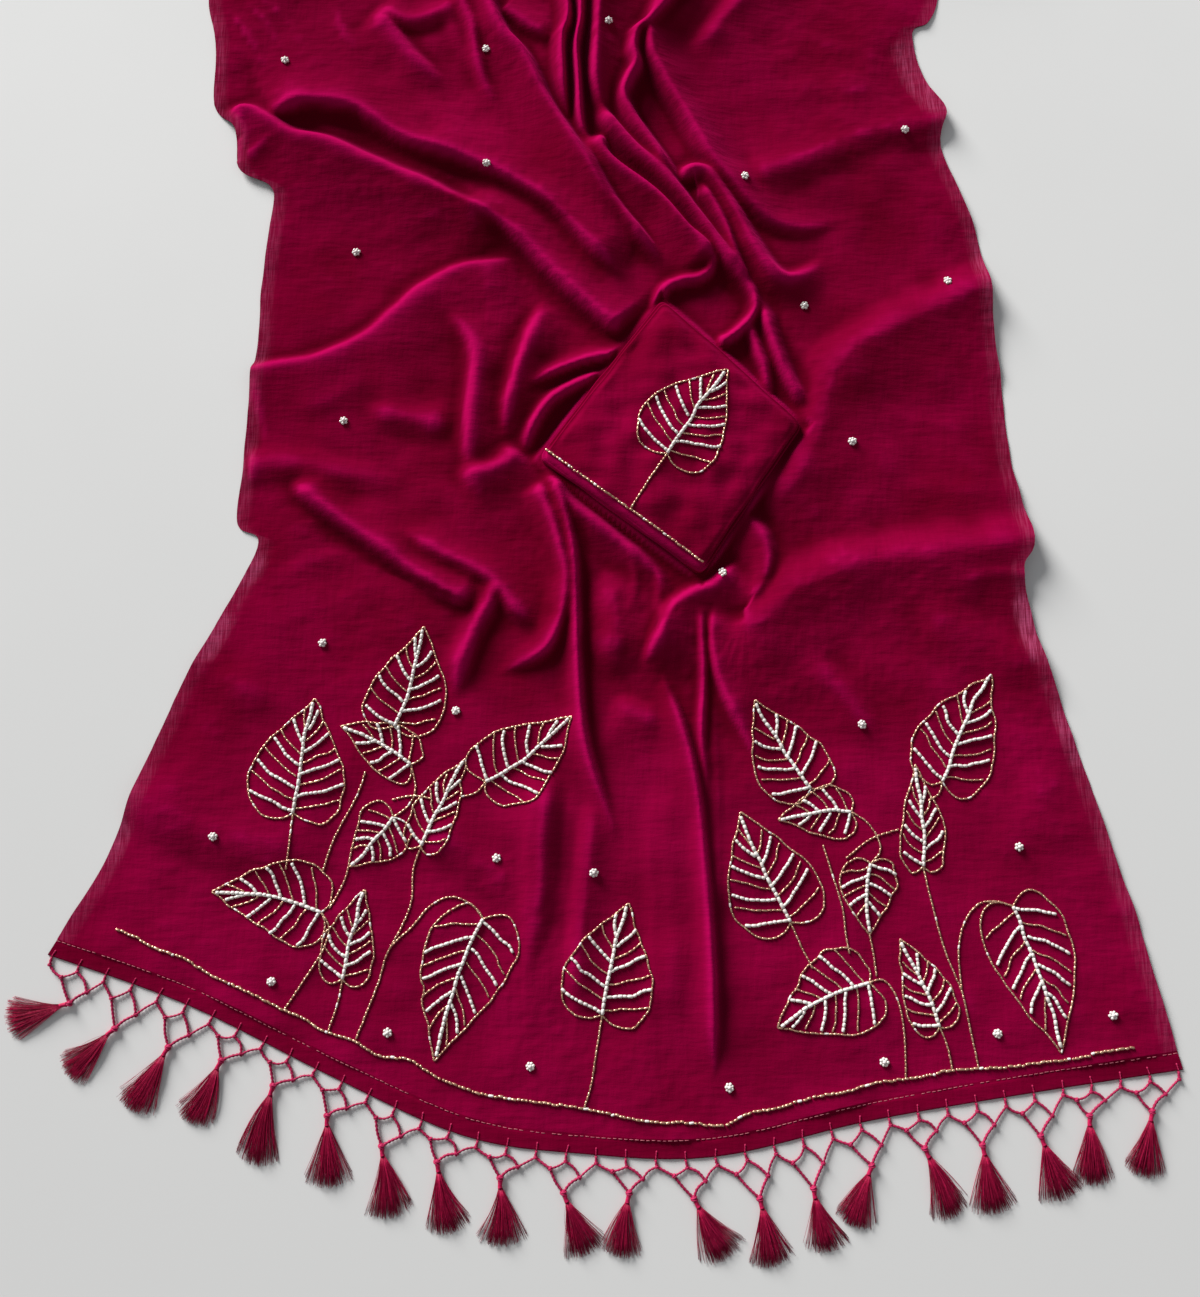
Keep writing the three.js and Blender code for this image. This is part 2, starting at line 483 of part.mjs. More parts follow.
// ---- Booleans ----
function toManifold(geometry) {
  const bare = geometry.clone();
  bare.deleteAttribute('normal');
  bare.deleteAttribute('uv');
  const merged = mergeVertices(bare, 1e-4);
  const vertProperties = new Float32Array(merged.attributes.position.array);
  const triVerts = new Uint32Array(merged.index.array);
  return new wasm.Manifold(new wasm.Mesh({ numProp: 3, vertProperties, triVerts }));
}

function fromManifold(solid) {
  const mesh = solid.getMesh();
  const geometry = new THREE.BufferGeometry();
  geometry.setAttribute('position', new THREE.Float32BufferAttribute(mesh.vertProperties, 3));
  geometry.setIndex(Array.from(mesh.triVerts));
  return geometry;
}

const joined = (geometries) => fromManifold(geometries.map(toManifold).reduce((all, one) => all.add(one)));

// ---- Knotted net ----
// Points along the hem's outer edge from which the cords hang, two to a tassel and one over
function netRoots() {
  const away = SEAM_GAP + 0.2 + NET.strip / 2;
  const margin = 0.004;
  return Array.from({ length: 2 * NET.units + 1 }, (_, i) => {
    const share = margin + ((1 - 2 * margin) * i) / (2 * NET.units);
    const onwards = pointAt(hemEdge, share + margin).sub(pointAt(hemEdge, share - margin)).normalize();
    return pointAt(hemEdge, share).addScaledVector(new THREE.Vector2(onwards.y, -onwards.x), away);
  });
}

// One flat plate of cords: a strip along the hem, and for each tassel two meshes and a diamond
function fringeNet() {
  const roots = netRoots();
  const half = NET.cord / 2;
  const lower = [roots[0]];
  const holes = [];
  TASSELS.forEach(({ head }, unit) => {
    const [left, centre, right] = roots.slice(2 * unit, 2 * unit + 3);
    const tip = new THREE.Vector2(...head);
    const hang = tip.clone().sub(centre);
    const leftKnot = left.clone().lerp(centre, 0.5).addScaledVector(hang, NET.leftKnot);
    const rightKnot = right.clone().lerp(centre, 0.5).addScaledVector(hang, NET.rightKnot);
    const blunt = new THREE.Vector2(-hang.y, hang.x).normalize().multiplyScalar(NET.blunt);
    lower.push(leftKnot, tip.clone().sub(blunt), tip.clone().add(blunt), rightKnot, right);
    holes.push(movedSides([left, leftKnot, centre], [half, half, NET.strip / 2]));
    holes.push(movedSides([centre, rightKnot, right], [half, half, NET.strip / 2]));
    holes.push(movedSides([leftKnot, tip, rightKnot, centre], [half, half, half, half]));
  });
  const upper = roots.slice(1, -1).reverse();
  const outsets = [...lower.slice(1).map(() => -half), ...upper.map(() => -NET.strip / 2), -NET.strip / 2];
  const plate = new THREE.Shape(movedSides([...lower, ...upper], outsets));
  plate.holes = holes.map((hole) => new THREE.Path(hole));
  const geometry = new THREE.ExtrudeGeometry(plate, { depth: NET.high - NET.low, bevelEnabled: false });
  return geometry.translate(ORIGIN.x, ORIGIN.y, NET.low);
}

// ---- Tassels ----
// One tassel lying along +X, with the net's tip at the origin: a bound neck and spreading locks
function tasselGeometry(length) {
  const start = NET.cord / 2 + NET.blunt * 0.5 + SEAM_GAP;
  const profile = [
    [0, start], [TASSEL.neck * 1.25, start + 1.2], [TASSEL.neck, TASSEL.bound * 0.5],
    [TASSEL.neck * 0.85, TASSEL.bound], [TASSEL.neck * 1.15, TASSEL.bound + 4], [0, TASSEL.bound + 5],
  ].map(([radius, run]) => new THREE.Vector2(radius, run));
  const neck = new THREE.LatheGeometry(profile, 6);
  neck.rotateZ(-Math.PI / 2);
  neck.translate(0, 0, TASSEL.axis);
  const pieces = [neck];
  const run = length - TASSEL.bound;
  for (let i = 0; i < TASSEL.locks; i++) {
    const side = (2 * i) / (TASSEL.locks - 1) - 1;
    const reach = run * (1 - 0.08 * side * side);
    const root = { y: side * TASSEL.neck * 0.7, z: TASSEL.axis };
    const end = { y: side * TASSEL.spread, z: TASSEL.tip + (i % 2) * TASSEL.step };
    const lock = new THREE.BoxGeometry(1, 1, 1);
    const place = lock.attributes.position;
    for (let k = 0; k < place.count; k++) {
      const t = place.getX(k) + 0.5;
      const width = THREE.MathUtils.lerp(TASSEL.lockRoot[0], TASSEL.lockEnd[0], t);
      const depth = THREE.MathUtils.lerp(TASSEL.lockRoot[1], TASSEL.lockEnd[1], t);
      const y = THREE.MathUtils.lerp(root.y, end.y, t) + place.getY(k) * width;
      const z = THREE.MathUtils.lerp(root.z, end.z, t) + place.getZ(k) * depth;
      place.setXYZ(k, TASSEL.bound + reach * t, y, z);
    }
    pieces.push(lock);
  }
  return joined(pieces);
}

// ---- Materials ----
const georgette = new THREE.MeshStandardMaterial({ color: 0x9a0549, roughness: 0.85, metalness: 0 });
const hemCloth = new THREE.MeshStandardMaterial({ color: 0x8c0442, roughness: 0.85, metalness: 0 });
const silk = new THREE.MeshStandardMaterial({ color: 0x7a0a3c, roughness: 0.5, metalness: 0 });

// ---- Assembly ----
const saree = new THREE.Group();

function addPiece(name, geometry, material) {
  const mesh = new THREE.Mesh(geometry, material);
  mesh.name = name;
  saree.add(mesh);
  return mesh;
}

const hemShare = HEM_WIDTH / LENGTH_BEFORE_STACK;
const gapShare = SEAM_GAP / LENGTH_BEFORE_STACK;
const stretches = [
  { name: 'pallu_hem', from: 0, to: hemShare, sections: 1, columns: 44, crowding: 0.3,
    thickness: HEM_THICKNESS, material: hemCloth },
  { name: 'pallu_stretch', from: hemShare + gapShare, to: MIDDLE_FROM, sections: 12, columns: 34,
    crowding: 1.2, thickness: CLOTH, material: georgette },
  { name: 'middle_stretch', from: MIDDLE_FROM + gapShare, to: TOP_FROM, sections: 25, columns: 38,
    crowding: 2, thickness: CLOTH, material: georgette },
  { name: 'top_stretch', from: TOP_FROM + gapShare, to: 1, sections: 21, columns: 38, crowding: 3,
    thickness: CLOTH, material: georgette },
];
for (const stretch of stretches) addPiece(stretch.name, clothWall(stretch), stretch.material);

const stackNear = farEdge.points[0].y + SEAM_GAP;
const stackLeft = (farEdge.points[0].x + farEdge.points[1].x - STACK.width) / 2;
addPiece('folded_rest', foldedStack({
  corners: [
    [stackLeft, stackNear], [stackLeft + STACK.width, stackNear],
    [stackLeft + STACK.width, stackNear + STACK.length], [stackLeft, stackNear + STACK.length],
  ],
  height: STACK.height - STACK.crown,
  layers: STACK.layers,
  round: STACK.round,
  crown: STACK.crown,
  seat: () => 0,
}), georgette);

addPiece('blouse_piece', foldedStack({
  corners: BLOUSE_CORNERS,
  height: BLOUSE.thickness - BLOUSE.crown,
  layers: BLOUSE.layers,
  round: BLOUSE.round,
  crown: BLOUSE.crown,
  seat: (x, y) => bedHeight(x, y) + CLOTH + BLOUSE.clearance,
}), georgette);

addPiece('fringe_net', fringeNet(), silk);

TASSELS.forEach(({ head, skirt }, i) => {
  const towards = new THREE.Vector2(skirt[0] - head[0], skirt[1] - head[1]);
  const length = TASSEL.length + TASSEL.lengthShare * towards.length();
  const tassel = addPiece(`tassel_${String(i + 1).padStart(2, '0')}`, tasselGeometry(length), silk);
  tassel.rotation.z = Math.atan2(towards.y, towards.x);
  tassel.position.set(head[0] + ORIGIN.x, head[1] + ORIGIN.y, 0);
});

export default saree;
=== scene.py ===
"""A georgette saree laid out flat, with its folded blouse piece on top, dressed for Blender.

The plan of the cloth is drawn in millimetres, with its zero in the middle of the embroidered end.
Heights are millimetres above the floor. row() turns them into the frame's metres.
"""

import math

import bpy
import numpy as np
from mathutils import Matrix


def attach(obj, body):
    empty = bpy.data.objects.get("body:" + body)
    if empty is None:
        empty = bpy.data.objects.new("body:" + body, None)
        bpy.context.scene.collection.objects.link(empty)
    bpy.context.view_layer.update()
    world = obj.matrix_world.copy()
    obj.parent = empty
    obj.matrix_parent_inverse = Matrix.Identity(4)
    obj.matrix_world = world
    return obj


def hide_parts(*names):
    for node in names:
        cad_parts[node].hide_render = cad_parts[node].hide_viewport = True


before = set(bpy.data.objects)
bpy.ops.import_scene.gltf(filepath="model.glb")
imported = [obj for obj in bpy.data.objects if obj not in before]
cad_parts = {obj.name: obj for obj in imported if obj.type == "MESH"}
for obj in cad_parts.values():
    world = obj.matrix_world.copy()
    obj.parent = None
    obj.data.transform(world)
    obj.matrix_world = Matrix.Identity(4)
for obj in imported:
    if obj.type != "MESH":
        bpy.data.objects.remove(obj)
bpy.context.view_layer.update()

MM = 0.001
ORIGIN = np.array([7.4, -295.6])  # the plan's zero in the frame, mm


def table(columns, rows):
    """Rows of a table as dictionaries, keyed by the names of its columns"""
    return [dict(zip(columns.split(), row)) for row in rows]


# ---- Driving dimensions, mm (shares where they say so) ----
WIDTH = 1120  # of the saree, along its hem
LENGTH_BEFORE_STACK = 1300
HEM_WIDTH = 17
HEM_THICKNESS = 2.2
SEAM_GAP = 0.3
MIDDLE_FROM = 0.3  # share of the length where the middle stretch starts
TOP_FROM = 0.655  # and where the gathered top stretch starts
CLOTH = 0.75  # wall of the georgette
CLEARANCE = 0.15  # between the floor and the lowest cloth
COLUMNS = 256  # across the cloth
FLANK = 1.25  # reach of a fold's rounded flank, as a share of its softness
STEEP = 9  # flanks up to this softness fall away round as an S
BROAD = 1.12  # and softer ones run out in a long slope, with this power
CREST_ROUND = 2  # radius that takes the edge off such a slope's crest
FOLD_REACH = 4.4  # reaches of a flank beyond which a fold adds nothing
CROSSING = 3.0  # how sharply the higher of two crossing folds wins
PRESSED = 1.2  # lower ripples than this lie pressed on the floor
LIFT = 2.5  # height over which cloth leaves the floor
CURVE_STEPS = 6  # points from one knot of a curve to the next
ROOT_MARGIN = 0.004  # share of the width that lies outside the net's first and last roots

STACK = dict(width=800, length=272, height=34.6, panels=16, nose_wander=2.6)
# seat: gap under it; roll: depth of its rolled side; crown: what its pillowed top adds
BLOUSE = dict(height=11.2, layers=3, round=9, seat=0.75, roll=7.5, roll_inset=1.4, roll_power=2.2,
              crown=2.4, pillow=1.9, bulge=1.9)
BED = dict(rise=13, drop=8, radius=150, margin=1.5, fall=7)  # cloth pressed under the blouse piece
NET = dict(units=20, radius=1.25, left_knot=0.42, right_knot=0.58, stub=6.5, low=1.35)
KNOT = dict(fork=1.55, side=1.75, tip=2.5)  # radii
TASSEL = dict(length=30, length_share=0.8, bound=9, axis=3.2, spread=19, threads=230, strays=6)
BEAD = dict(gold=0.95, white=1.75, border=1.25, stem=0.95, round=1.9)  # radii
BEAD_LENGTH = dict(outline=4.6, midrib=5.2, vein=5.0, stem=4.4, border=4.3)
FLOWER = dict(fewest=6, most=7, ring=3.05)  # beads round the middle one, and how far from it
STITCH = dict(inset=15.6, pitch=5.2, thickness=0.33)
WHIP_PATH = [  # depth inside the hem's edge and lift off the hem, along one whip stitch
    (6.8, -0.25), (5.9, 0.35), (4.2, 0.3), (2.4, 0.3), (1.0, 0.3), (0.15, 0.1), (-0.55, -0.15),
]

FLOOR_GREY = (0.83, 0.832, 0.826)
FLOOR_REACH = 6.0  # metres from its middle to each side
WINDOW = dict(place=(-1.45, 2.05, 0.90), strength=5.7, spread=26, colour=(1.0, 0.99, 0.975))
ROOM = dict(colour=(0.95, 0.97, 1.0), strength=0.26)

# Raised things are drawn where they are seen against the floor from the camera's place, mm
EYE = dict(place=(0, -283.2), height=1329.8)
CAMERA = dict(tilt=12, lens=37.405, sensor=36, near=0.05, far=60)

# ---- Outline of the cloth in plan ----
LEFT_EDGE = [
    (-531, -302), (-484, -213), (-433, -73), (-400, 3), (-370, 58), (-350, 112), (-373, 130), (-370, 190),
    (-366, 290), (-360, 405), (-354, 485), (-358, 512), (-393, 532), (-399, 580), (-424, 612), (-428, 690),
    (-439, 745), (-432, 820), (-409, 900),
]
RIGHT_EDGE = [
    (551, -408), (507, -222), (473, -103), (443, 8), (428, 78), (441, 112), (425, 210), (418, 345),
    (403, 463), (373, 560), (378, 602), (360, 640), (348, 700), (366, 714), (379, 745), (390, 820),
    (391, 900),
]
HEM_EDGE = [
    (-531, -302), (-393, -349), (-256, -413), (-129, -467), (-20, -483), (107, -486), (253, -454),
    (420, -427), (551, -408),
]
BLOUSE_CORNERS = [(-65, 197), (102, 71), (211, 234), (66, 377)]

# Where the columns crowd together, as shares along the length and across the width
GATHER_LINE = table("along across crowding", [
    (0, 0.52, 1.0), (0.3, 0.52, 1.6), (0.5, 0.56, 2.2),
    (0.66, 0.61, 2.6), (0.86, 0.54, 3.0), (1, 0.52, 2.6),
])

# ---- Folds ----
# rise: height of the crest; left, right: how softly it falls away on each side of its path;
# start, end: share of the path over which it rises and dies away (0 keeps its full height).
FOLD_COLUMNS = "rise left right start end path"
FOLDS = table("name " + FOLD_COLUMNS, [
    ("upper_sweep", 22, 40, 9, 0.12, 0.12, [(-392, 602), (-369, 611), (-348, 620), (-319, 624),
     (-273, 615), (-252, 602), (-211, 575), (-148, 552), (-98, 528), (-60, 503), (-30, 474), (-8, 448),
     (8, 432), (24, 420), (44, 412)]),
    ("upper_turn", 21, 9, 32, 0.08, 0.18, [(-424, 604), (-394, 611), (-377, 604), (-357, 590),
     (-340, 581), (-298, 570), (-248, 546), (-198, 522), (-148, 496), (-112, 474), (-84, 450)]),
    ("upper_roll", 21, 34, 8, 0.25, 0.08, [(-184, 516), (-148, 500), (-112, 478), (-82, 452), (-60, 428),
     (-40, 406), (-16, 382), (28, 342)]),
    ("flap_tuck", 9, 5, 9, 0.25, 0.3, [(-392, 546), (-376, 556), (-362, 568), (-346, 574)]),
    ("left_sweep", 13, 8, 60, 0.05, 0.15, [(-385, 296), (-345, 306), (-300, 314), (-250, 338),
     (-218, 367), (-195, 391), (-164, 412), (-141, 420), (-109, 424), (-74, 433)]),
    ("left_column", 16, 17, 9, 0.4, 0.3, [(-186, 408), (-155, 365), (-137, 338), (-130, 312), (-132, 288),
     (-136, 248), (-135, 204), (-128, 160)]),
    ("left_spur", 18, 18, 9, 0.35, 0.35, [(-52, 398), (-61, 374), (-72, 345), (-84, 308), (-94, 272),
     (-98, 238), (-96, 210)]),
    ("left_hook", 15, 13, 22, 0.35, 0.2, [(-158, 178), (-130, 186), (-108, 192), (-92, 203), (-78, 218)]),
    ("upper_arc", 16, 6, 10, 0.05, 0.45, [(40, 318), (8, 317), (-20, 311), (-50, 300), (-76, 286),
     (-92, 262)]),
    ("lower_arc", 17, 7, 8, 0.05, 0.35, [(20, 290), (-8, 292), (-32, 282), (-52, 268), (-66, 248),
     (-76, 222), (-80, 196)]),
    ("throat_1", 28, 7, 26, 0.15, 0.3, [(-165, 872), (-138, 785), (-112, 716), (-87, 683), (-61, 628),
     (-35, 582), (-16, 548), (6, 505), (34, 458), (62, 418)]),
    ("throat_1_under", 23, 6, 8, 0.25, 0.3, [(-30, 590), (-8, 545), (14, 502), (40, 467), (60, 442),
     (76, 420)]),
    ("throat_2", 23, 4, 9, 0.2, 0.3, [(-62, 866), (-36, 745), (-42, 700), (-41, 660), (-37, 615),
     (-26, 580)]),
    ("throat_3", 23, 4, 5, 0.2, 0.25, [(-26, 862), (-21, 740), (-26, 692), (-24, 650), (-21, 603),
     (-13, 578), (-3, 552)]),
    ("throat_roll", 26, 18, 8, 0.15, 0.3, [(14, 870), (4, 800), (0, 745), (-3, 700), (-4, 660), (0, 632),
     (10, 604), (26, 584)]),
    ("throat_4", 25, 7, 9, 0.15, 0.15, [(-6, 632), (9, 602), (36, 567), (68, 534), (104, 487), (134, 442),
     (163, 398)]),
    ("throat_5", 26, 6, 20, 0.12, 0.15, [(0, 596), (2, 568), (13, 549), (47, 521), (68, 501), (93, 469),
     (111, 451), (134, 418)]),
    ("throat_6", 25, 7, 9, 0.2, 0.15, [(122, 868), (92, 780), (65, 730), (44, 712), (38, 690), (41, 668),
     (33, 650), (27, 630), (34, 608), (56, 571), (79, 533), (96, 504)]),
    ("right_throat", 24, 20, 9, 0.15, 0.45, [(92, 800), (64, 740), (57, 695), (70, 658), (97, 605),
     (122, 555), (146, 523), (165, 500), (190, 480), (222, 475), (260, 484), (312, 500)]),
    ("right_u2", 23, 9, 14, 0.1, 0.4, [(86, 518), (97, 535), (112, 536), (124, 525), (147, 487),
     (162, 455), (179, 425), (194, 411), (212, 411), (236, 428), (256, 456)]),
    ("neck_1", 20, 5, 8, 0.2, 0.15, [(102, 530), (120, 501), (136, 469), (145, 440), (162, 396)]),
    ("neck_2", 15, 6, 8, 0.2, 0.1, [(126, 446), (120, 418), (106, 407), (88, 404), (70, 394), (62, 368)]),
    ("neck_loop", 17, 6, 7, 0.15, 0.1, [(134, 442), (150, 413), (163, 393), (166, 373), (156, 354),
     (138, 338), (120, 330)]),
    ("neck_3", 17, 8, 6, 0.3, 0.2, [(166, 400), (173, 376), (181, 345), (190, 316), (202, 288),
     (220, 252)]),
    ("neck_4", 13, 7, 6, 0.3, 0.1, [(150, 372), (158, 350), (166, 326), (174, 300), (176, 270)]),
    ("right_rib", 12, 28, 20, 0.12, 0, [(154, 522), (184, 535), (229, 553), (300, 582), (392, 600)]),
    ("right_bow", 16, 46, 22, 0, 0.15, [(425, 404), (375, 381), (312, 350), (278, 332), (250, 305),
     (240, 276), (233, 248), (221, 214), (204, 180), (184, 155), (158, 134)]),
    ("right_long", 19, 46, 24, 0, 0.12, [(460, 118), (412, 108), (337, 100), (262, 87), (203, 65),
     (187, 52), (168, 33), (147, 24), (134, 32), (130, 48)]),
    ("corner_loop", 14, 8, 22, 0.35, 0.3, [(126, 150), (148, 140), (166, 122), (172, 98), (167, 74),
     (152, 50), (130, 26)]),
    ("centre_flare", 18, 26, 8, 0.2, 0.3, [(152, 98), (132, 80), (114, 66), (94, 58), (76, 44), (64, 20),
     (53, -4), (40, -32)]),
    ("left_flare", 16, 7, 12, 0.08, 0.4, [(-68, 186), (-54, 146), (-42, 108), (-36, 82), (-36, 56),
     (-41, 30), (-50, 8), (-62, -4), (-82, -14), (-128, -34)]),
    ("centre_cord", 17, 5, 10, 0.05, 0.35, [(-50, 200), (-42, 166), (-31, 122), (-26, 91), (-24, 45),
     (-23, 0), (-21, -40), (-18, -75), (-12, -105), (-2, -138), (13, -180), (30, -226)]),
    ("centre_swell", 14, 22, 18, 0.35, 0.4, [(-6, 96), (12, 58), (16, 10), (14, -46)]),
    ("centre_bowl", 9, 14, 26, 0.4, 0.4, [(2, -46), (28, -64), (54, -74), (78, -76)]),
    ("blouse_shelf", 16, 7, 12, 0.08, 0.5, [(-52, 184), (-34, 158), (-10, 138), (15, 118), (40, 97),
     (60, 76), (72, 50), (76, 24)]),
    ("hem_fold", 15, 5, 16, 0.2, 0.2, [(56, -6), (68, -42), (80, -74), (90, -110), (97, -150),
     (101, -200), (107, -300), (109, -440)]),
    ("hem_fold_mid", 12, 5, 5, 0.15, 0.5, [(101, 60), (103, 20), (104, -32), (101, -90), (105, -128),
     (109, -190)]),
    ("hem_fold_edge", 14, 22, 5, 0.15, 0.45, [(118, 56), (115, 30), (114, 4), (120, -30), (131, -58),
     (146, -90), (168, -140)]),
    ("right_soft_1", 8, 14, 22, 0.3, 0.45, [(196, 8), (214, -14), (238, -42), (268, -78), (296, -112)]),
    ("right_soft_2", 9, 24, 24, 0.3, 0, [(300, 62), (345, 28), (475, -28)]),
    ("right_tab", 10, 14, 8, 0, 0.4, [(440, 76), (400, 77), (375, 71), (350, 58)]),
    ("left_tuck", 17, 24, 8, 0.14, 0.12, [(-330, 184), (-312, 172), (-295, 158), (-264, 135), (-232, 113),
     (-195, 86), (-160, 64), (-118, 44)]),
    ("left_tuck_2", 15, 16, 9, 0.3, 0.2, [(-226, 142), (-204, 128), (-182, 113), (-160, 100), (-132, 87),
     (-112, 75), (-98, 60), (-84, 41), (-68, 27), (-54, 20)]),
    ("left_fall", 13, 10, 12, 0.1, 0.45, [(-108, 76), (-113, 50), (-128, 20), (-142, -20), (-150, -70)]),
    ("left_rib", 10, 16, 16, 0.05, 0.35, [(-372, 194), (-320, 196), (-270, 186), (-225, 174),
     (-185, 160)]),
    ("left_bump", 11, 20, 15, 0.35, 0.3, [(-262, 262), (-241, 258), (-205, 250), (-173, 241),
     (-146, 224)]),
    ("pallu_wave_1", 10, 40, 26, 0, 0.4, [(-480, -138), (-360, -188), (-230, -205)]),
    ("pallu_wave_2", 6, 30, 26, 0.1, 0.4, [(-420, -10), (-370, -35), (-300, -60)]),
    ("pallu_wave_3", 8, 28, 20, 0.3, 0.3, [(-195, -183), (-140, -200), (-100, -225), (-72, -265)]),
    ("pallu_fold_1", 13, 12, 22, 0.25, 0.4, [(-44, -104), (-54, -150), (-58, -190), (-60, -240),
     (-74, -340)]),
    ("pallu_fold_2", 9, 14, 12, 0.3, 0.4, [(-2, -110), (-12, -220), (-22, -320), (-20, -410)]),
    ("pallu_fold_3", 8, 20, 20, 0.3, 0.4, [(48, -90), (62, -150), (70, -230), (70, -430)]),
    ("top_spur", 15, 8, 26, 0.2, 0.5, [(-262, 742), (-245, 723), (-232, 707), (-213, 680), (-188, 655),
     (-160, 618)]),
    ("top_shelf", 12, 16, 12, 0.25, 0.2, [(-262, 742), (-236, 730), (-217, 722), (-196, 725), (-176, 733),
     (-150, 744)]),
    ("throat_0", 17, 6, 9, 0.15, 0.5, [(-190, 868), (-168, 790), (-152, 738), (-143, 714), (-139, 690),
     (-131, 655), (-120, 628), (-100, 590), (-84, 560)]),
    ("top_tick", 10, 16, 8, 0.15, 0.35, [(-116, 738), (-94, 724), (-71, 708), (-44, 698)]),
    ("top_right_spur", 14, 24, 14, 0.15, 0.3, [(182, 830), (172, 775), (156, 742), (140, 724), (126, 702),
     (112, 693), (96, 692), (80, 700)]),
])

# Lesser creases that lie on the folds: same columns
CREASES = table("name " + FOLD_COLUMNS, [
    ("corner_crush_1", 1.6, 5, 3, 0.3, 0.4, [(-420, 735), (-395, 700), (-372, 655)]),
    ("corner_crush_2", 1.4, 4, 4, 0.3, 0.4, [(-405, 745), (-372, 712), (-352, 668)]),
    ("corner_crush_3", 1.2, 4, 6, 0.3, 0.4, [(-380, 742), (-350, 715), (-322, 672)]),
    ("corner_crush_4", 1.3, 5, 5, 0.3, 0.4, [(-416, 690), (-385, 668), (-350, 652)]),
    ("top_crush_1", 2.0, 5, 6, 0.3, 0.4, [(-300, 742), (-285, 700), (-262, 668)]),
    ("top_crush_2", 1.8, 6, 6, 0.3, 0.4, [(-170, 745), (-160, 690), (-130, 640)]),
    ("arc_1", 2.2, 8, 7, 0.3, 0.4, [(-240, 548), (-180, 528), (-118, 492)]),
    ("arc_2", 2.0, 8, 8, 0.3, 0.4, [(-40, 470), (0, 420), (30, 372)]),
    ("left_faint_1", 1.5, 9, 9, 0.35, 0.4, [(-330, 500), (-250, 505), (-190, 480)]),
    ("left_faint_2", 1.6, 9, 9, 0.35, 0.4, [(-330, 250), (-285, 262), (-235, 300)]),
    ("left_faint_3", 1.6, 7, 9, 0.35, 0.4, [(-335, 60), (-290, 92), (-235, 98)]),
    ("below_blouse_1", 2.6, 4, 6, 0.25, 0.5, [(-48, 157), (-39, 101), (-29, 60)]),
    ("below_blouse_2", 2.2, 4, 4, 0.25, 0.5, [(-32, 147), (-22, 112), (-17, 85)]),
    ("below_blouse_3", 2.0, 5, 5, 0.3, 0.4, [(28, 112), (36, 70), (30, 20)]),
    ("below_blouse_4", 2.2, 5, 4, 0.3, 0.4, [(62, 88), (60, 40), (66, -10)]),
    ("hem_crease_1", 1.5, 3, 9, 0.2, 0.25, [(112, -20), (116, -160), (112, -300), (118, -440)]),
    ("hem_crease_2", 1.1, 5, 5, 0.3, 0.3, [(-60, -90), (-72, -240), (-66, -400)]),
    ("hem_crease_3", 1.3, 5, 7, 0.3, 0.3, [(44, -140), (50, -260), (48, -420)]),
    ("right_faint_1", 1.6, 9, 10, 0.3, 0.4, [(185, 700), (240, 690), (320, 660)]),
    ("right_faint_2", 1.6, 10, 9, 0.3, 0.4, [(200, 640), (262, 628), (338, 636)]),
    ("right_faint_3", 1.5, 9, 9, 0.3, 0.4, [(255, 545), (300, 540), (360, 556)]),
    ("right_faint_4", 1.7, 9, 12, 0.3, 0.4, [(280, 262), (330, 240), (400, 232)]),
    ("right_faint_5", 1.5, 9, 9, 0.3, 0.4, [(300, 165), (355, 168), (425, 160)]),
    ("right_faint_6", 1.4, 10, 9, 0.3, 0.4, [(330, -60), (380, -85), (450, -95)]),
])

# Broad patches of cloth that lean away from the light, darkened with painted shade
PAINTED_SHADE_PATCHES = table("place reach share", [
    ((-310, 705), 95, 0.35), ((-250, 465), 90, 0.35), ((285, 505), 90, 0.38),
    ((330, 290), 80, 0.2), ((-300, 240), 60, 0.2),
])
PALLU_PAINTED_LIGHT = dict(share=0.16, start=-20, over=180)  # and its embroidered end is lightened with painted light

# The selvedge is paler all along in a band and at its very rim
SELVEDGE = dict(band=0.2, band_from=8, band_over=9, rim=0.30, rim_reach=2.2, end_fade=22, solid=0.55,
                fade=0.45)

# and in these stretches, where one thin layer lies slack over the floor
THIN_SELVEDGES = table("side low high width paleness", [
    ("right", -30, 66, 20, 0.75), ("right", -135, -48, 15, 0.6),
    ("right", -420, -150, 8, 0.3), ("right", 585, 705, 30, 0.42),
    ("right", 330, 470, 11, 0.35), ("right", 90, 300, 9, 0.22),
    ("left", 52, 112, 17, 0.6), ("left", -26, 50, 20, 0.5),
    ("left", -228, -160, 15, 0.5), ("left", -300, -228, 9, 0.25),
    ("left", 290, 470, 13, 0.3), ("left", 600, 740, 13, 0.32),
])

# ---- Embroidery ----
# Leaves: where the point and the stem's end lie, and the greatest width; bow bends the midrib.
LEAVES = table("tip base width bow", [
    ((-285, -52), (-302, -166), 98, -0.02), ((-178, 22), (-205, -80), 78, 0.03),
    ((-258, -80), (-187, -118), 55, 0.05), ((-133, -112), (-175, -198), 46, -0.03),
    ((-28, -70), (-113, -135), 80, 0.04), ((-245, -218), (-203, -170), 55, -0.04),
    ((-377, -242), (-270, -262), 80, 0.05), ((-228, -240), (-247, -325), 52, -0.03),
    ((-157, -400), (-113, -268), 86, 0.03), ((28, -253), (2, -358), 92, -0.03),
    ((138, -165), (184, -271), 88, -0.03), ((155, -53), (208, -142), 74, -0.03),
    ((175, -173), (247, -165), 50, 0.05), ((312, -118), (315, -218), 44, 0.03),
    ((393, -27), (338, -135), 80, -0.03), ((260, -283), (264, -215), 58, 0.04),
    ((169, -370), (258, -328), 84, 0.05), ((289, -287), (323, -369), 52, 0.03),
    ((437, -393), (400, -256), 80, -0.03),
])
BLOUSE_LEAF = dict(tip=(135, 300), base=(70, 207), width=96, bow=-0.03)

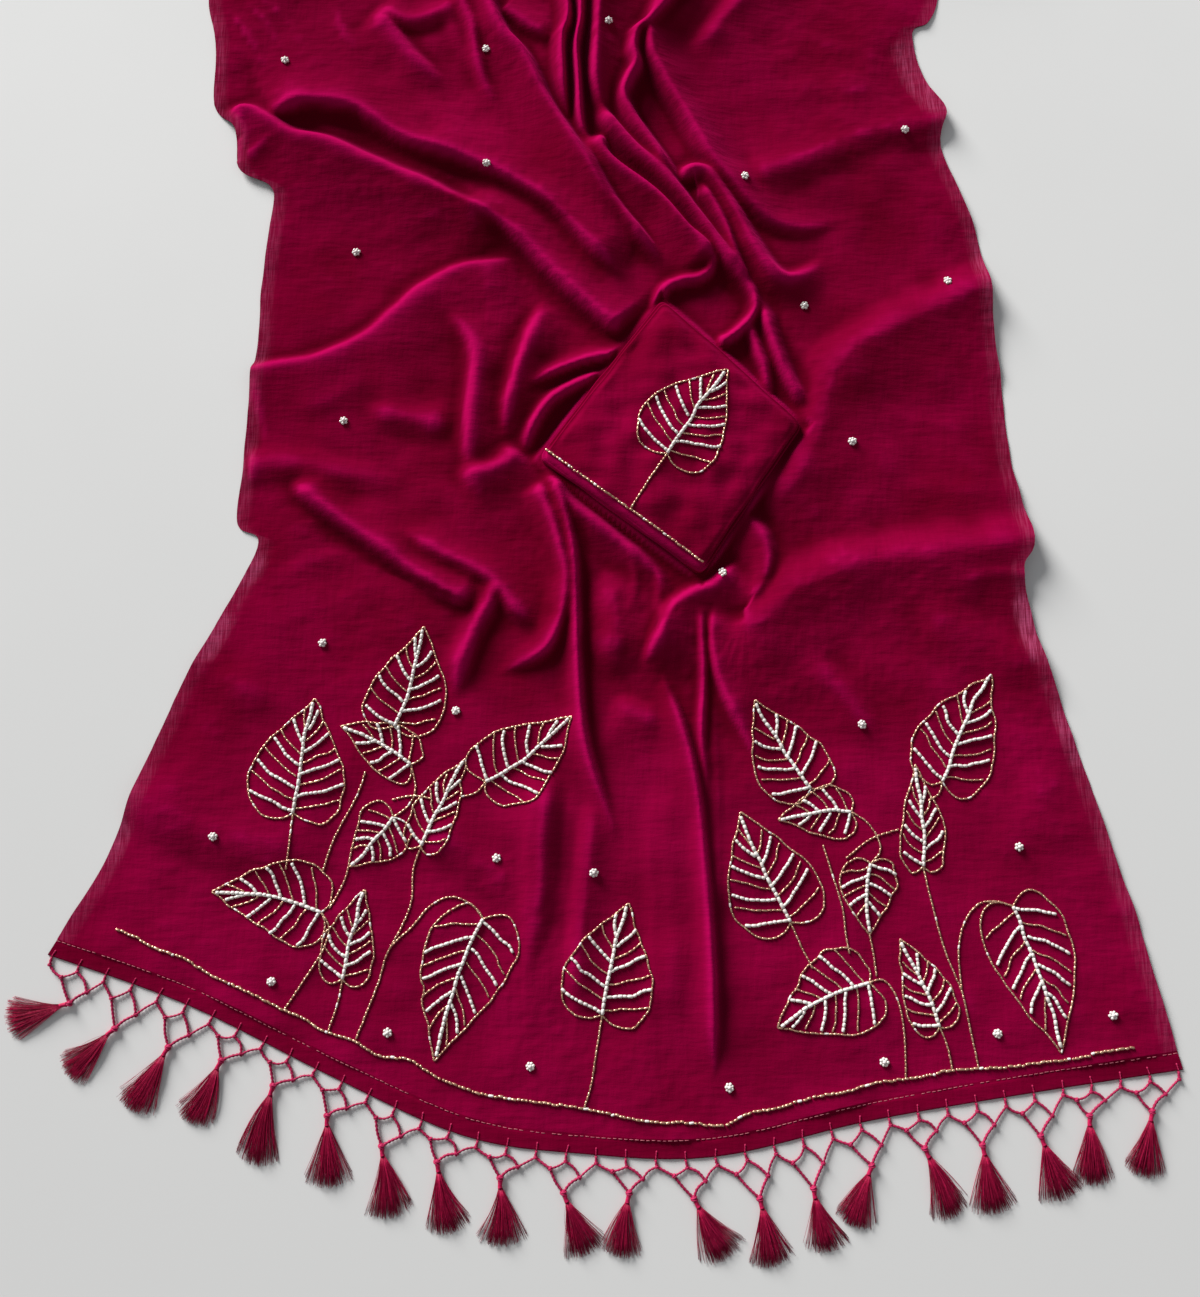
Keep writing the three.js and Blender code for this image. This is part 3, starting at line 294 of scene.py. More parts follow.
STEMS = [
    [(-302, -168), (-304, -195), (-306, -221)],
    [(-232, -125), (-240, -150), (-260, -190), (-270, -222)],
    [(-187, -118), (-182, -142), (-188, -158), (-203, -170)],
    [(-165, -152), (-185, -149), (-205, -153)],
    [(-113, -135), (-122, -146), (-137, -150)],
    [(-175, -198), (-182, -222), (-183, -252), (-193, -278), (-203, -297)],
    [(-113, -268), (-125, -254), (-145, -247), (-165, -256), (-181, -275), (-203, -297), (-213, -330),
     (-232, -380)],
    [(-245, -218), (-250, -235), (-262, -258)],
    [(-270, -262), (-262, -275), (-266, -296), (-284, -326), (-302, -354)],
    [(-247, -325), (-250, -345), (-259, -374)],
    [(2, -358), (-4, -395), (-8, -420), (-15, -443)],
    [(184, -271), (193, -292), (204, -315)],
    [(218, -197), (226, -225), (235, -258), (237, -282), (240, -301)],
    [(247, -165), (261, -174), (271, -188), (274, -203), (264, -215)],
    [(240, -210), (262, -193), (278, -186), (293, -182)],
    [(338, -135), (334, -147), (323, -154)],
    [(315, -218), (321, -250), (332, -298), (346, -336), (352, -370), (358, -406)],
    [(260, -283), (263, -300), (265, -322)],
    [(400, -256), (382, -251), (365, -255), (351, -274), (345, -300), (346, -334)],
    [(258, -328), (271, -325), (283, -340), (289, -370), (289, -416)],
    [(323, -369), (330, -388), (333, -408)],
]
BLOUSE_STEM = [(70, 207), (53, 182), (32, 148)]

BORDER_LINE = [
    (-467, -278), (-450, -284), (-430, -295), (-400, -305), (-375, -320), (-340, -335), (-302, -353),
    (-280, -362), (-262, -373), (-235, -381), (-210, -395), (-180, -399), (-157, -413), (-130, -424),
    (-105, -431), (-60, -437), (-13, -443), (20, -450), (50, -455), (80, -455), (115, -458), (140, -447),
    (165, -443), (200, -433), (230, -428), (260, -420), (290, -416), (310, -413), (335, -408), (380, -406),
    (420, -401), (450, -398), (480, -391), (507, -388),
]
BLOUSE_LINE = [(-57, 212), (-20, 184), (25, 151), (70, 117), (106, 89)]

# Small scattered flowers of round beads
FLOWERS = [
    (-350, 668), (-127, 682), (10, 718), (335, 582), (158, 526), (-124, 541), (372, 402), (218, 373),
    (-262, 435), (-268, 243), (263, 220), (125, 79), (-280, 5), (-144, -64), (261, -78), (-379, -189),
    (-101, -210), (-6, -224), (410, -199), (-315, -327), (-202, -374), (-66, -405), (122, -424),
    (269, -401), (378, -375), (489, -358),
]

# Right half of a leaf, base to point: share of the length, share of the width
LEAF_OUTLINE = [
    (0.0, 0.0), (-0.055, 0.12), (-0.06, 0.27), (0.01, 0.41), (0.15, 0.49), (0.32, 0.49), (0.50, 0.41),
    (0.68, 0.28), (0.84, 0.14), (0.94, 0.055), (1.0, 0.0),
]

# Tassels: where the net's point lies, and the middle of the skirt, which gives direction and length
TASSELS = table("head skirt", [
    ((-506, -347), (-543, -358)), ((-461, -370), (-488, -395)), ((-409, -387), (-429, -426)),
    ((-358, -399), (-375, -435)), ((-308, -422), (-320, -472)), ((-256, -449), (-254, -490)),
    ((-204, -476), (-197, -517)), ((-152, -490), (-143, -531)), ((-93, -504), (-91, -540)),
    ((-34, -517), (-20, -549)), ((27, -517), (21, -549)), ((87, -522), (105, -554)),
    ((148, -522), (157, -558)), ((198, -513), (203, -545)), ((253, -493), (241, -524)),
    ((303, -478), (321, -517)), ((357, -475), (364, -513)), ((412, -467), (424, -501)),
    ((459, -449), (457, -488)), ((518, -445), (510, -481)),
])

# ---- Curves ----
def smooth_line(knots):
    """Points of a smooth curve through the knots"""
    k = np.asarray(knots, float)
    k = np.vstack([k[:1], k, k[-1:]])
    t = (np.arange(CURVE_STEPS) / CURVE_STEPS)[:, None]
    rows = []
    for before, a, b, after in zip(k[:-3], k[1:-2], k[2:-1], k[3:]):
        leaving, arriving = (b - before) / 2, (after - a) / 2
        rows.append(
            (2 * a - 2 * b + leaving + arriving) * t**3
            + (3 * b - 3 * a - 2 * leaving - arriving) * t**2 + leaving * t + a
        )
    return np.vstack([*rows, k[-1:]])


class Line:
    """A smooth curve with the distance run at each of its points"""

    def __init__(self, knots):
        self.points = smooth_line(knots)
        steps = np.linalg.norm(np.diff(self.points, axis=0), axis=1)
        self.run = np.concatenate([[0], np.cumsum(steps)])
        self.total = self.run[-1]

    def at(self, share):
        """Points at shares of the whole length"""
        distance = np.asarray(share) * self.total
        return np.stack([np.interp(distance, self.run, axis) for axis in self.points.T], axis=-1)


LEFT, RIGHT, HEM = Line(LEFT_EDGE), Line(RIGHT_EDGE), Line(HEM_EDGE)
FAR = Line([LEFT_EDGE[-1], RIGHT_EDGE[-1]])


def smooth_step(t):
    t = np.clip(t, 0, 1)
    return t * t * (3 - 2 * t)


def unit(vectors, least=0):
    """Vectors scaled to length one; shorter ones than least stay short"""
    return vectors / np.maximum(np.linalg.norm(vectors, axis=-1, keepdims=True), least)


def turned(angle):
    """Matrix that turns rows of points about the upright axis"""
    c, s = math.cos(angle), math.sin(angle)
    return np.array([[c, s, 0], [-s, c, 0], [0, 0, 1]])


def plan_points(across, along):
    """Points of the cloth in plan from shares of its width and length"""
    u, v = across[..., None], along[..., None]
    sides = LEFT.at(along) * (1 - u) + RIGHT.at(along) * u
    ends = HEM.at(across) * (1 - v) + FAR.at(across) * v
    near = HEM.points[0] * (1 - u) + HEM.points[-1] * u
    far = FAR.points[0] * (1 - u) + FAR.points[-1] * u
    return sides + ends - near * (1 - v) - far * v


def row(points):
    """Plan millimetres to the frame's metres"""
    moved = np.array(points, float)
    moved[..., :2] += ORIGIN
    return moved * MM


def upright(plan, height):
    """Plan points with their heights, as one array"""
    return np.concatenate([plan, np.asarray(height)[..., None]], axis=-1)


def brought_in(points, height):
    """Points drawn as seen against the floor, moved to where they lie at a height above it"""
    points = np.asarray(points, float)
    share = np.asarray(height, float)[..., None] / EYE["height"]
    return points + (np.array(EYE["place"]) - points) * share


# ---- The drape ----
for fold in FOLDS:
    crest = np.full(len(fold["path"]), max(0, fold["rise"] - PRESSED - LIFT / 2))
    fold["line"] = Line(brought_in(fold["path"], crest))
for crease in CREASES:
    crease["line"] = Line(crease["path"])


def fold_rise(x, y, fold):
    """Height that one fold gives the cloth at each point"""
    line = fold["line"]
    reach = FOLD_REACH * FLANK * max(fold["left"], fold["right"])
    low, high = line.points.min(axis=0) - reach, line.points.max(axis=0) + reach
    near = (x > low[0]) & (x < high[0]) & (y > low[1]) & (y < high[1])
    rise = np.zeros(x.shape)
    if not near.any():
        return rise
    px, py = x[near], y[near]
    best, share = np.full(px.shape, np.inf), np.zeros(px.shape)
    is_left = np.zeros(px.shape, bool)
    for i in range(len(line.points) - 1):
        a = line.points[i]
        dx, dy = line.points[i + 1] - a
        t = np.clip(((px - a[0]) * dx + (py - a[1]) * dy) / (dx * dx + dy * dy), 0, 1)
        ex, ey = px - a[0] - t * dx, py - a[1] - t * dy
        squared = ex * ex + ey * ey
        closer = squared < best
        best[closer] = squared[closer]
        run = line.run[i] + t * (line.run[i + 1] - line.run[i])
        share[closer] = run[closer] / line.total
        is_left[closer] = (dx * ey - dy * ex > 0)[closer]
    softness = np.where(is_left, fold["left"], fold["right"])
    steep = softness <= max(STEEP, min(fold["left"], fold["right"]))
    away = np.where(steep, best**0.5, np.sqrt(best + CREST_ROUND**2) - CREST_ROUND)
    away = away / (FLANK * softness)
    rises = smooth_step(share / fold["start"]) if fold["start"] else 1
    dies = smooth_step((1 - share) / fold["end"]) if fold["end"] else 1
    rise[near] = fold["rise"] * rises * dies * np.exp(-(away ** np.where(steep, 2, BROAD)))
    return rise


def from_side(side, x, y):
    """How far points lie inwards of one side of the blouse piece's outline"""
    (ax, ay), (bx, by) = BLOUSE_CORNERS[side], BLOUSE_CORNERS[(side + 1) % len(BLOUSE_CORNERS)]
    return ((bx - ax) * (y - ay) - (by - ay) * (x - ax)) / math.hypot(bx - ax, by - ay)


def inside_blouse(x, y):
    """How far inside the blouse piece's outline points lie; negative outside"""
    return np.min([from_side(side, x, y) for side in range(len(BLOUSE_CORNERS))], axis=0)


BLOUSE_CENTRE = np.mean(BLOUSE_CORNERS, axis=0)


def bed_height(x, y):
    """Where the cloth lies pressed under the blouse piece"""
    away = np.hypot(x - BLOUSE_CENTRE[0], y - BLOUSE_CENTRE[1]) / BED["radius"]
    return BED["rise"] - BED["drop"] * away**2


def wave_bank(seed, count, shortest, longest):
    """Directions, lengths and phases of the ripples that give cloth its unevenness"""
    rng = np.random.default_rng(seed)
    lengths = shortest * (longest / shortest) ** rng.random(count)
    return rng.uniform(0, math.pi, count), lengths, rng.uniform(0, 2 * math.pi, count)


SLACK_WAVES = wave_bank(seed=11, count=18, shortest=34, longest=190)
CRUSH_WAVES = wave_bank(seed=23, count=14, shortest=9, longest=24)
PATCH_WAVES = (SLACK_WAVES[0], SLACK_WAVES[1] * 3, SLACK_WAVES[2])  # where the crush shows most


def waves(x, y, bank, steepness):
    """Sum of ripples, each as high as its length allows"""
    total = np.zeros(np.shape(x))
    for angle, length, phase in zip(*bank):
        k = 2 * math.pi / length
        total += steepness * length * np.sin(k * (x * math.cos(angle) + y * math.sin(angle)) + phase)
    return total


def ripple(x, y):
    """Unevenness of cloth that was folded and shaken out, never negative"""
    slack = 1.7 + waves(x, y, SLACK_WAVES, steepness=0.0052)
    patches = smooth_step(0.5 + waves(x, y, PATCH_WAVES, steepness=0.0012))
    crush = 0.3 + waves(x, y, CRUSH_WAVES, steepness=0.0034)
    return np.maximum(0, slack) * 0.75 + np.maximum(0, crush) * (0.25 + 0.75 * patches)


def left_free(x, y):
    """How far the blouse piece leaves a place to its own folds: from 0 under it to 1 beside it"""
    return smooth_step((-inside_blouse(x, y) - BED["margin"]) / BED["fall"])


def drape_height(x, y):
    """Height of the cloth's underside above the floor"""
    total = sum(fold_rise(x, y, fold) ** CROSSING for fold in FOLDS)
    lifted = np.maximum(0, total ** (1 / CROSSING) - PRESSED)
    folded = np.where(lifted < LIFT, lifted**2 / (2 * LIFT), lifted - LIFT / 2)
    folded += sum(fold_rise(x, y, crease) for crease in CREASES)
    pressed = 1 - left_free(x, y)
    return folded * (1 - pressed) + bed_height(x, y) * pressed


def cloth_top(x, y):
    return drape_height(x, y) + ripple(x, y) * left_free(x, y) + CLEARANCE + CLOTH


# ---- Meshes ----
def added(name, data):
    """A new object in the scene"""
    thing = bpy.data.objects.new(name, data)
    bpy.context.scene.collection.objects.link(thing)
    return thing


def mesh_piece(name, verts, faces, material):
    """An object from points in metres and lists of faces, riding on the one body"""
    mesh = bpy.data.meshes.new(name)
    mesh.from_pydata(np.asarray(verts).reshape(-1, 3).tolist(), [], faces)
    mesh.materials.append(material)
    mesh.polygons.foreach_set("use_smooth", [True] * len(mesh.polygons))
    piece = added(name, mesh)
    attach(piece, "root")
    return piece


def give_points(piece, name, values):
    """A number for each point of a piece, for its material to read"""
    layer = piece.data.attributes.new(name, "FLOAT", "POINT")
    layer.data.foreach_set("value", np.asarray(values, np.float32).ravel())


class Pile:
    """Many small forms that become one piece; tint is a number that their material reads"""

    def __init__(self):
        self.verts, self.faces, self.tints, self.count = [], [], [], 0

    def add(self, verts, faces, tint):
        verts = np.asarray(verts, float).reshape(-1, 3)
        self.verts.append(verts)
        self.faces += [[i + self.count for i in face] for face in faces]
        self.tints.append(np.broadcast_to(np.asarray(tint, float), len(verts)))
        self.count += len(verts)

    def add_copies(self, verts, faces, tints):
        """verts is (copies, points, 3), with the same faces for each"""
        copies, points = verts.shape[:2]
        starts = self.count + points * np.arange(copies)
        self.verts.append(verts.reshape(-1, 3))
        for face in faces:
            self.faces += (starts[:, None] + np.array(face)).tolist()
        self.tints.append(np.repeat(tints, points))
        self.count += copies * points

    def piece(self, name, material, slot):
        made = mesh_piece(name, row(np.vstack(self.verts)), self.faces, material)
        give_points(made, "tint", np.concatenate(self.tints))
        return made


def ring_faces(rings, sides, start=0, closed=False):
    """Faces between rings of points that follow one another; closed joins the last to the first"""
    r = np.arange(rings if closed else rings - 1)[:, None] * sides
    i = np.arange(sides)
    j, above = (i + 1) % sides, (r + sides) % (rings * sides)
    return (np.stack([r + i, r + j, above + j, above + i], axis=-1) + start).reshape(-1, 4).tolist()


def tube_faces(rings, sides):
    """Faces of a tube of that many rings, with both ends capped"""
    ends = [list(range(sides))[::-1], [(rings - 1) * sides + i for i in range(sides)]]
    return ring_faces(rings, sides) + ends


def tube_points(paths, radii, sides, lobes=0, twist=0):
    """Rings of points round paths (n, rings, 3); lobes and twist (turns per mm) make a plied cord"""
    paths = np.asarray(paths, float)
    radii = np.broadcast_to(radii, paths.shape[:-1])
    ahead = unit(np.gradient(paths, axis=1))
    across = unit(np.cross([0, 0, 1.0], ahead), least=1e-6)
    up = np.cross(ahead, across)
    steps = np.linalg.norm(np.diff(paths, axis=1), axis=-1)
    run = np.concatenate([np.zeros((len(paths), 1)), np.cumsum(steps, axis=1)], axis=1)[..., None]
    angle = 2 * math.pi * np.arange(sides) / sides
    swell = 1 + 0.28 * np.cos(lobes * (angle - 2 * math.pi * twist * run)) if lobes else 1 + 0 * run
    reach = radii[..., None] * swell
    side, lift = reach * np.cos(angle), reach * np.sin(angle)
    rings = paths[:, :, None] + side[..., None] * across[..., None, :] + lift[..., None] * up[:, :, None]
    return rings.reshape(len(paths), -1, 3)


def ball(centre, size, sides=8, rings=6):
    """Points and faces of a rounded knot or bead; size holds its three half sizes"""
    verts = [(0, 0, -1)]
    for r in range(1, rings):
        angle = math.pi * (r / rings - 0.5)
        for i in range(sides):
            turn = 2 * math.pi * i / sides
            out = math.cos(angle)
            verts.append((out * math.cos(turn), out * math.sin(turn), math.sin(angle)))
    verts.append((0, 0, 1))
    last, top = len(verts) - 1, 1 + (rings - 2) * sides
    faces = [[0, 1 + (i + 1) % sides, 1 + i] for i in range(sides)]
    faces += ring_faces(rings - 1, sides, start=1)
    faces += [[top + i, top + (i + 1) % sides, last] for i in range(sides)]
    return np.asarray(centre) + np.array(verts) * size, faces


# ---- Materials ----
MIX_COLOURS, MIXED_COLOUR = (6, 7), 2  # the Mix node's own sockets for colours


class Finish:
    """A material with one Principled shader and short calls for the nodes that feed it"""

    def __init__(self, name, colour, roughness, **values):
        self.material = bpy.data.materials.new(name)
        self.material.use_nodes = True
        self.tree = self.material.node_tree
        self.shader = self.tree.nodes["Principled BSDF"]
        self.set("Base Color", (*colour, 1))
        self.set("Roughness", roughness)
        for socket, value in values.items():
            self.set(socket.replace("_", " "), value)

    def set(self, socket, value):
        self.shader.inputs[socket].default_value = value

    def node(self, kind, **values):
        made = self.tree.nodes.new(kind)
        for name, value in values.items():
            socket = made.inputs.get(name.replace("_", " "))
            if socket is None or name.islower():
                setattr(made, name, value)
            else:
                socket.default_value = value
        return made

    def link(self, source, target):
        self.tree.links.new(source, target)

    def place(self, scale):
        """Object coordinates, stretched"""
        where = self.node("ShaderNodeTexCoord")
        mapping = self.node("ShaderNodeMapping", Scale=scale)
        self.link(where.outputs["Object"], mapping.inputs["Vector"])
        return mapping.outputs["Vector"]

    def noise(self, size, detail, scale=(1, 1, 1)):
        made = self.node("ShaderNodeTexNoise", Scale=size, Detail=detail)
        self.link(self.place(scale), made.inputs["Vector"])
        return made.outputs["Fac"]

    def number(self, name):
        return self.node("ShaderNodeAttribute", attribute_name=name).outputs["Fac"]

    def ranged(self, value, low, high, to_low=0.0, to_high=1.0):
        made = self.node("ShaderNodeMapRange")
        self.link(value, made.inputs["Value"])
        for name, number in zip(("From Min", "From Max", "To Min", "To Max"), (low, high, to_low, to_high)):
            made.inputs[name].default_value = number
        return made.outputs["Result"]

    def times(self, a, b):
        made = self.node("ShaderNodeMath", operation="MULTIPLY")
        for socket, value in zip(made.inputs, (a, b)):
            self.link(value, socket)
        return made.outputs["Value"]

    def mix(self, share, a, b):
        """Colours a and b, each a colour or a socket, mixed by a share"""
        made = self.node("ShaderNodeMix", data_type="RGBA")
        self.link(share, made.inputs["Factor"])
        for index, value in zip(MIX_COLOURS, (a, b)):
            if isinstance(value, tuple):
                made.inputs[index].default_value = (*value, 1)
            else:
                self.link(value, made.inputs[index])
        return made.outputs[MIXED_COLOUR]

    def paint(self, colour):
        self.link(colour, self.shader.inputs["Base Color"])

    def bump(self, height, distance, strength=1.0, after=None):
        made = self.node("ShaderNodeBump", Strength=strength, Distance=distance)
        self.link(height, made.inputs["Height"])
        if after is not None:
            self.link(after, made.inputs["Normal"])
        return made.outputs["Normal"]


# Painted shade makes the cloth redder deep in a fold, and painted highlight makes it pinker along its crest
PAINTED_SHADE_RED, PAINTED_HIGHLIGHT_PINK = (0.092, 0.0002, 0.0068), (0.38, 0.0018, 0.072)


PALE_EDGE = (0.50, 0.085, 0.20)  # and this pale where one layer lies over the floor


def georgette(name, deep, bright):
    """Matt crepe cloth: uneven dye, long faint crinkles, a pebbled grain, paler thin edges, painted shade in
    the folds and painted highlight along their crests
    """
    finish = Finish(name, bright, 0.85, Specular_IOR_Level=0.0, Sheen_Weight=0.30, Sheen_Roughness=0.5,
                    Sheen_Tint=(1.0, 0.02, 0.26, 1))
    dye = finish.ranged(finish.noise(9.0, 4.0), 0.34, 0.68)
    colour = finish.mix(dye, deep, bright)
    streaks = finish.ranged(finish.noise(1.0, 2.0, (240, 26, 60)), 0.3, 0.7, 0.0, 0.30)
    colour = finish.mix(streaks, colour, deep)
    grain = finish.noise(950.0, 1.0)
    colour = finish.mix(finish.ranged(grain, 0.35, 0.75, 0.0, 0.22), colour, bright)
    # painted shade deep in the folds, then painted highlight along their crests
    colour = finish.mix(finish.number("painted_shade"), colour, PAINTED_SHADE_RED)
    colour = finish.mix(finish.number("crest"), colour, PAINTED_HIGHLIGHT_PINK)
    threads = finish.ranged(finish.noise(1.0, 2.0, (850, 40, 90)), 0.42, 0.62, 0.2, 1.0)
    thin = finish.times(finish.number("thin"), threads)
    finish.paint(finish.mix(thin, colour, PALE_EDGE))
    crinkle = finish.bump(finish.noise(1.0, 3.0, (34, 150, 60)), 0.0014, 0.6)
    cross = finish.bump(finish.noise(1.0, 3.0, (150, 40, 60)), 0.0011, 0.5, crinkle)
    pebble = finish.bump(grain, 0.00025, 0.5, cross)
    finish.link(pebble, finish.shader.inputs["Normal"])
    return finish.material


def silk(name, deep, bright):
    """Filament silk thread: dark with bright streaks, some threads lighter than others"""
    finish = Finish(name, bright, 0.5, Specular_IOR_Level=0.12)
    streaks = finish.noise(420.0, 2.0)
    share = finish.times(finish.ranged(streaks, 0.3, 0.7, 0.35, 1.0), finish.number("tint"))
    finish.paint(finish.mix(share, deep, bright))
    finish.link(finish.bump(streaks, 0.0003, 0.5), finish.shader.inputs["Normal"])
    return finish.material


def beads(name, dull, bright, roughness, **values):
    """Small beads that differ a little from one to the next"""
    finish = Finish(name, bright, roughness, **values)
    wear = finish.ranged(finish.noise(600.0, 2.0), 0.35, 0.7, 0.6, 1.0)
    share = finish.times(wear, finish.number("tint"))
    finish.paint(finish.mix(share, dull, bright))
    finish.link(finish.bump(wear, 0.0001, 0.4), finish.shader.inputs["Normal"])
    return finish.material


CLOTH_FINISH = georgette("georgette", (0.146, 0.0003, 0.0130), (0.240, 0.0006, 0.0325))
HEM_FINISH = georgette("georgette_hem", (0.130, 0.0003, 0.013), (0.195, 0.0006, 0.025))
SILK_FINISH = silk("silk", (0.22, 0.002, 0.028), (0.60, 0.014, 0.095))
CORD_FINISH = silk("silk_cord", (0.24, 0.004, 0.036), (0.56, 0.032, 0.125))
GOLD_FINISH = beads("gold_bead", (0.42, 0.21, 0.13), (0.90, 0.62, 0.42), 0.30, Metallic=0.72)
WHITE_FINISH = beads("white_bead", (0.72, 0.66, 0.60), (0.95, 0.93, 0.90), 0.24, Coat_Weight=0.3)
THREAD_FINISH = beads("beige_thread", (0.34, 0.05, 0.10), (0.55, 0.17, 0.20), 0.6)


# ---- The laid cloth ----
def column_shares(along):
    """Shares across the width for each share along the length, crowded round the gather"""
    keys = [line["along"] for line in GATHER_LINE]
    centre = np.interp(along, keys, [line["across"] for line in GATHER_LINE])
    crowding = np.interp(along, keys, [line["crowding"] for line in GATHER_LINE])
    samples, width = 400, 0.16  # places where the crowding is read, and its share of the width
    middle = (np.arange(samples) + 0.5) / samples
    shares = np.empty((len(along), COLUMNS + 1))
    for i, (place, much) in enumerate(zip(centre, crowding)):
        density = 1 + much * np.exp(-(((middle - place) / width) ** 2))
        run = np.concatenate([[0], np.cumsum(density)])
        targets = np.linspace(0, run[-1], COLUMNS + 1)
        shares[i] = np.interp(targets, run, np.linspace(0, 1, samples + 1))
    return shares


def thin_edges(plan):
    """How pale the selvedge is at each point of a (rows, columns, 2) grid in plan"""
    pale = np.zeros(plan.shape[:2])
    for side, edge in (("left", plan[:, :1]), ("right", plan[:, -1:])):
        inwards = np.linalg.norm(plan - edge, axis=-1)
        band = SELVEDGE["band"] * (1 - smooth_step((inwards - SELVEDGE["band_from"]) / SELVEDGE["band_over"]))
        rim = SELVEDGE["rim"] * np.exp(-inwards / SELVEDGE["rim_reach"])
        pale = np.maximum(pale, np.maximum(band, rim))
        for stretch in (stretch for stretch in THIN_SELVEDGES if stretch["side"] == side):
            y, width, fade = edge[..., 1], stretch["width"], SELVEDGE["end_fade"]
            ends = smooth_step((y - stretch["low"]) / fade) * smooth_step((stretch["high"] - y) / fade)
            solid = SELVEDGE["solid"] * width * ends
            across = 1 - smooth_step((inwards - solid) / (SELVEDGE["fade"] * width))
            pale = np.maximum(pale, stretch["paleness"] * ends * across)
    return pale


def blurred(height, rounds):
    """A height grid averaged with its neighbours, again and again"""
    for _ in range(rounds):
        padded = np.pad(height, 1, mode="edge")
        height = (padded[:-2, 1:-1] + padded[2:, 1:-1] + padded[1:-1, :-2] + padded[1:-1, 2:]
                  + 2 * padded[1:-1, 1:-1]) / 6
    return height


def grid_faces(rows, columns, start=0):
    """Faces of a grid of points, seen from above where rows run away and columns to the right"""
    a = start + (np.arange(rows - 1)[:, None] * columns + np.arange(columns - 1)).ravel()
    return np.stack([a, a + 1, a + columns + 1, a + columns], axis=1)


def shell(name, top, bottom, normals, material, slot):
    """A thin closed sheet between two grids of points (rows, columns, 3) in plan"""
    rows, columns = top.shape[:2]
    size = rows * columns
    upper, lower = grid_faces(rows, columns), grid_faces(rows, columns, size)[:, ::-1]
    index = np.arange(size).reshape(rows, columns)
    rim = np.concatenate([index[0], index[1:, -1], index[-1, -2::-1], index[-2:0:-1, 0]])
    after = np.roll(rim, -1)
    edge = np.stack([after, rim, rim + size, after + size], axis=1)
    verts = row(np.concatenate([top.reshape(-1, 3), bottom.reshape(-1, 3)]))
    piece = mesh_piece(name, verts, np.concatenate([upper, lower, edge]).tolist(), material)
    flat = normals.reshape(-1, 3)
    piece.data.normals_split_custom_set_from_vertices(np.concatenate([flat, -flat]).tolist())
    return piece


def grid_normals(surface):
    """Upward unit normals of a grid of points"""
    down, right = np.gradient(surface, axis=0), np.gradient(surface, axis=1)
    return unit(np.cross(right, down), least=1e-9)


def painted_fold_light(height, x, y):
    """How deep in a fold and how near its crest each point of a grid of heights lies, as painted shade and
    painted highlight
    """
    broad_relief, fine_relief = blurred(height, 30) - height, blurred(height, 4) - height
    # painted shade where the cloth lies below its surroundings, painted highlight where it rises above them
    painted_shade = smooth_step((broad_relief + 0.1) / 2.8) * 0.9
    crest = smooth_step((0.1 - broad_relief) / 4.8) * 0.7 + smooth_step((-0.15 - fine_relief) / 0.7) * 0.35
    # patches of painted shade on broad slopes that lean away from the light
    for patch in PAINTED_SHADE_PATCHES:
        away = np.hypot(x - patch["place"][0], y - patch["place"][1]) / patch["reach"]
        painted_shade = np.maximum(painted_shade, patch["share"] * np.exp(-(away**2)) * (1 - crest))
    # painted light that makes the embroidered end lighter
    crest += PALLU_PAINTED_LIGHT["share"] * smooth_step((PALLU_PAINTED_LIGHT["start"] - y) / PALLU_PAINTED_LIGHT["over"])
    return painted_shade, crest


# length: of the cut that each stretch shows, metres
STRETCHES = table("name rows length", [
    ("pallu_stretch", 100, 0.385), ("middle_stretch", 144, 0.475), ("top_stretch", 140, 0.465),
])


def laid_cloth():
    """One continuous drape, cut into the three stretches of the CAD model"""
    cuts = [(HEM_WIDTH + SEAM_GAP) / LENGTH_BEFORE_STACK, MIDDLE_FROM, TOP_FROM, 1]
    along = [np.linspace(a, b, s["rows"] + 1)[:-1] for a, b, s in zip(cuts, cuts[1:], STRETCHES)]
    along = np.concatenate([*along, [1]])
    across = column_shares(along)
    plan = plan_points(across, np.broadcast_to(along[:, None], across.shape))
    x, y = plan[..., 0], plan[..., 1]
    wander = waves(x * 0 + 40, y, SLACK_WAVES, 0.0022)[..., None]
    near_edge = (np.exp(-across / 0.02) - np.exp(-(1 - across) / 0.02))[..., None]
    plan = plan + near_edge * wander * np.array([1.0, 0])
    x, y = plan[..., 0], plan[..., 1]
    top = upright(plan, cloth_top(x, y))
    normals = grid_normals(top)
    wall = CLOTH * np.minimum(2.0, 1 / normals[..., 2])
    bottom = upright(plan, np.maximum(0.05, top[..., 2] - wall))
    # painted shade in the folds and painted highlight along their crests, for the material to read
    painted_shade, crest = painted_fold_light(top[..., 2], x, y)
    shades = dict(painted_shade=painted_shade, crest=crest, thin=thin_edges(plan))
    pieces, first = [], 0
    for stretch in STRETCHES:
        part = slice(first, first + stretch["rows"] + 1)
        sheet = top[part], bottom[part], normals[part]
        piece = shell(stretch["name"] + "_cloth", *sheet, CLOTH_FINISH, "georgette")
        for name, values in shades.items():
            give_points(piece, name, np.tile(values[part].ravel(), 2))
        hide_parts(stretch["name"])
        pieces.append(piece)
        first += stretch["rows"]
    return pieces


# ---- The turned hem ----
def hem_point(share, depth):
    """Plan points a depth inside the hem's outer edge, at shares of the width"""
    outer = plan_points(share, np.zeros(share.shape))
    inner = plan_points(share, np.full(share.shape, HEM_WIDTH / LENGTH_BEFORE_STACK))
    return outer + (inner - outer) * (np.asarray(depth) / HEM_WIDTH)[..., None]


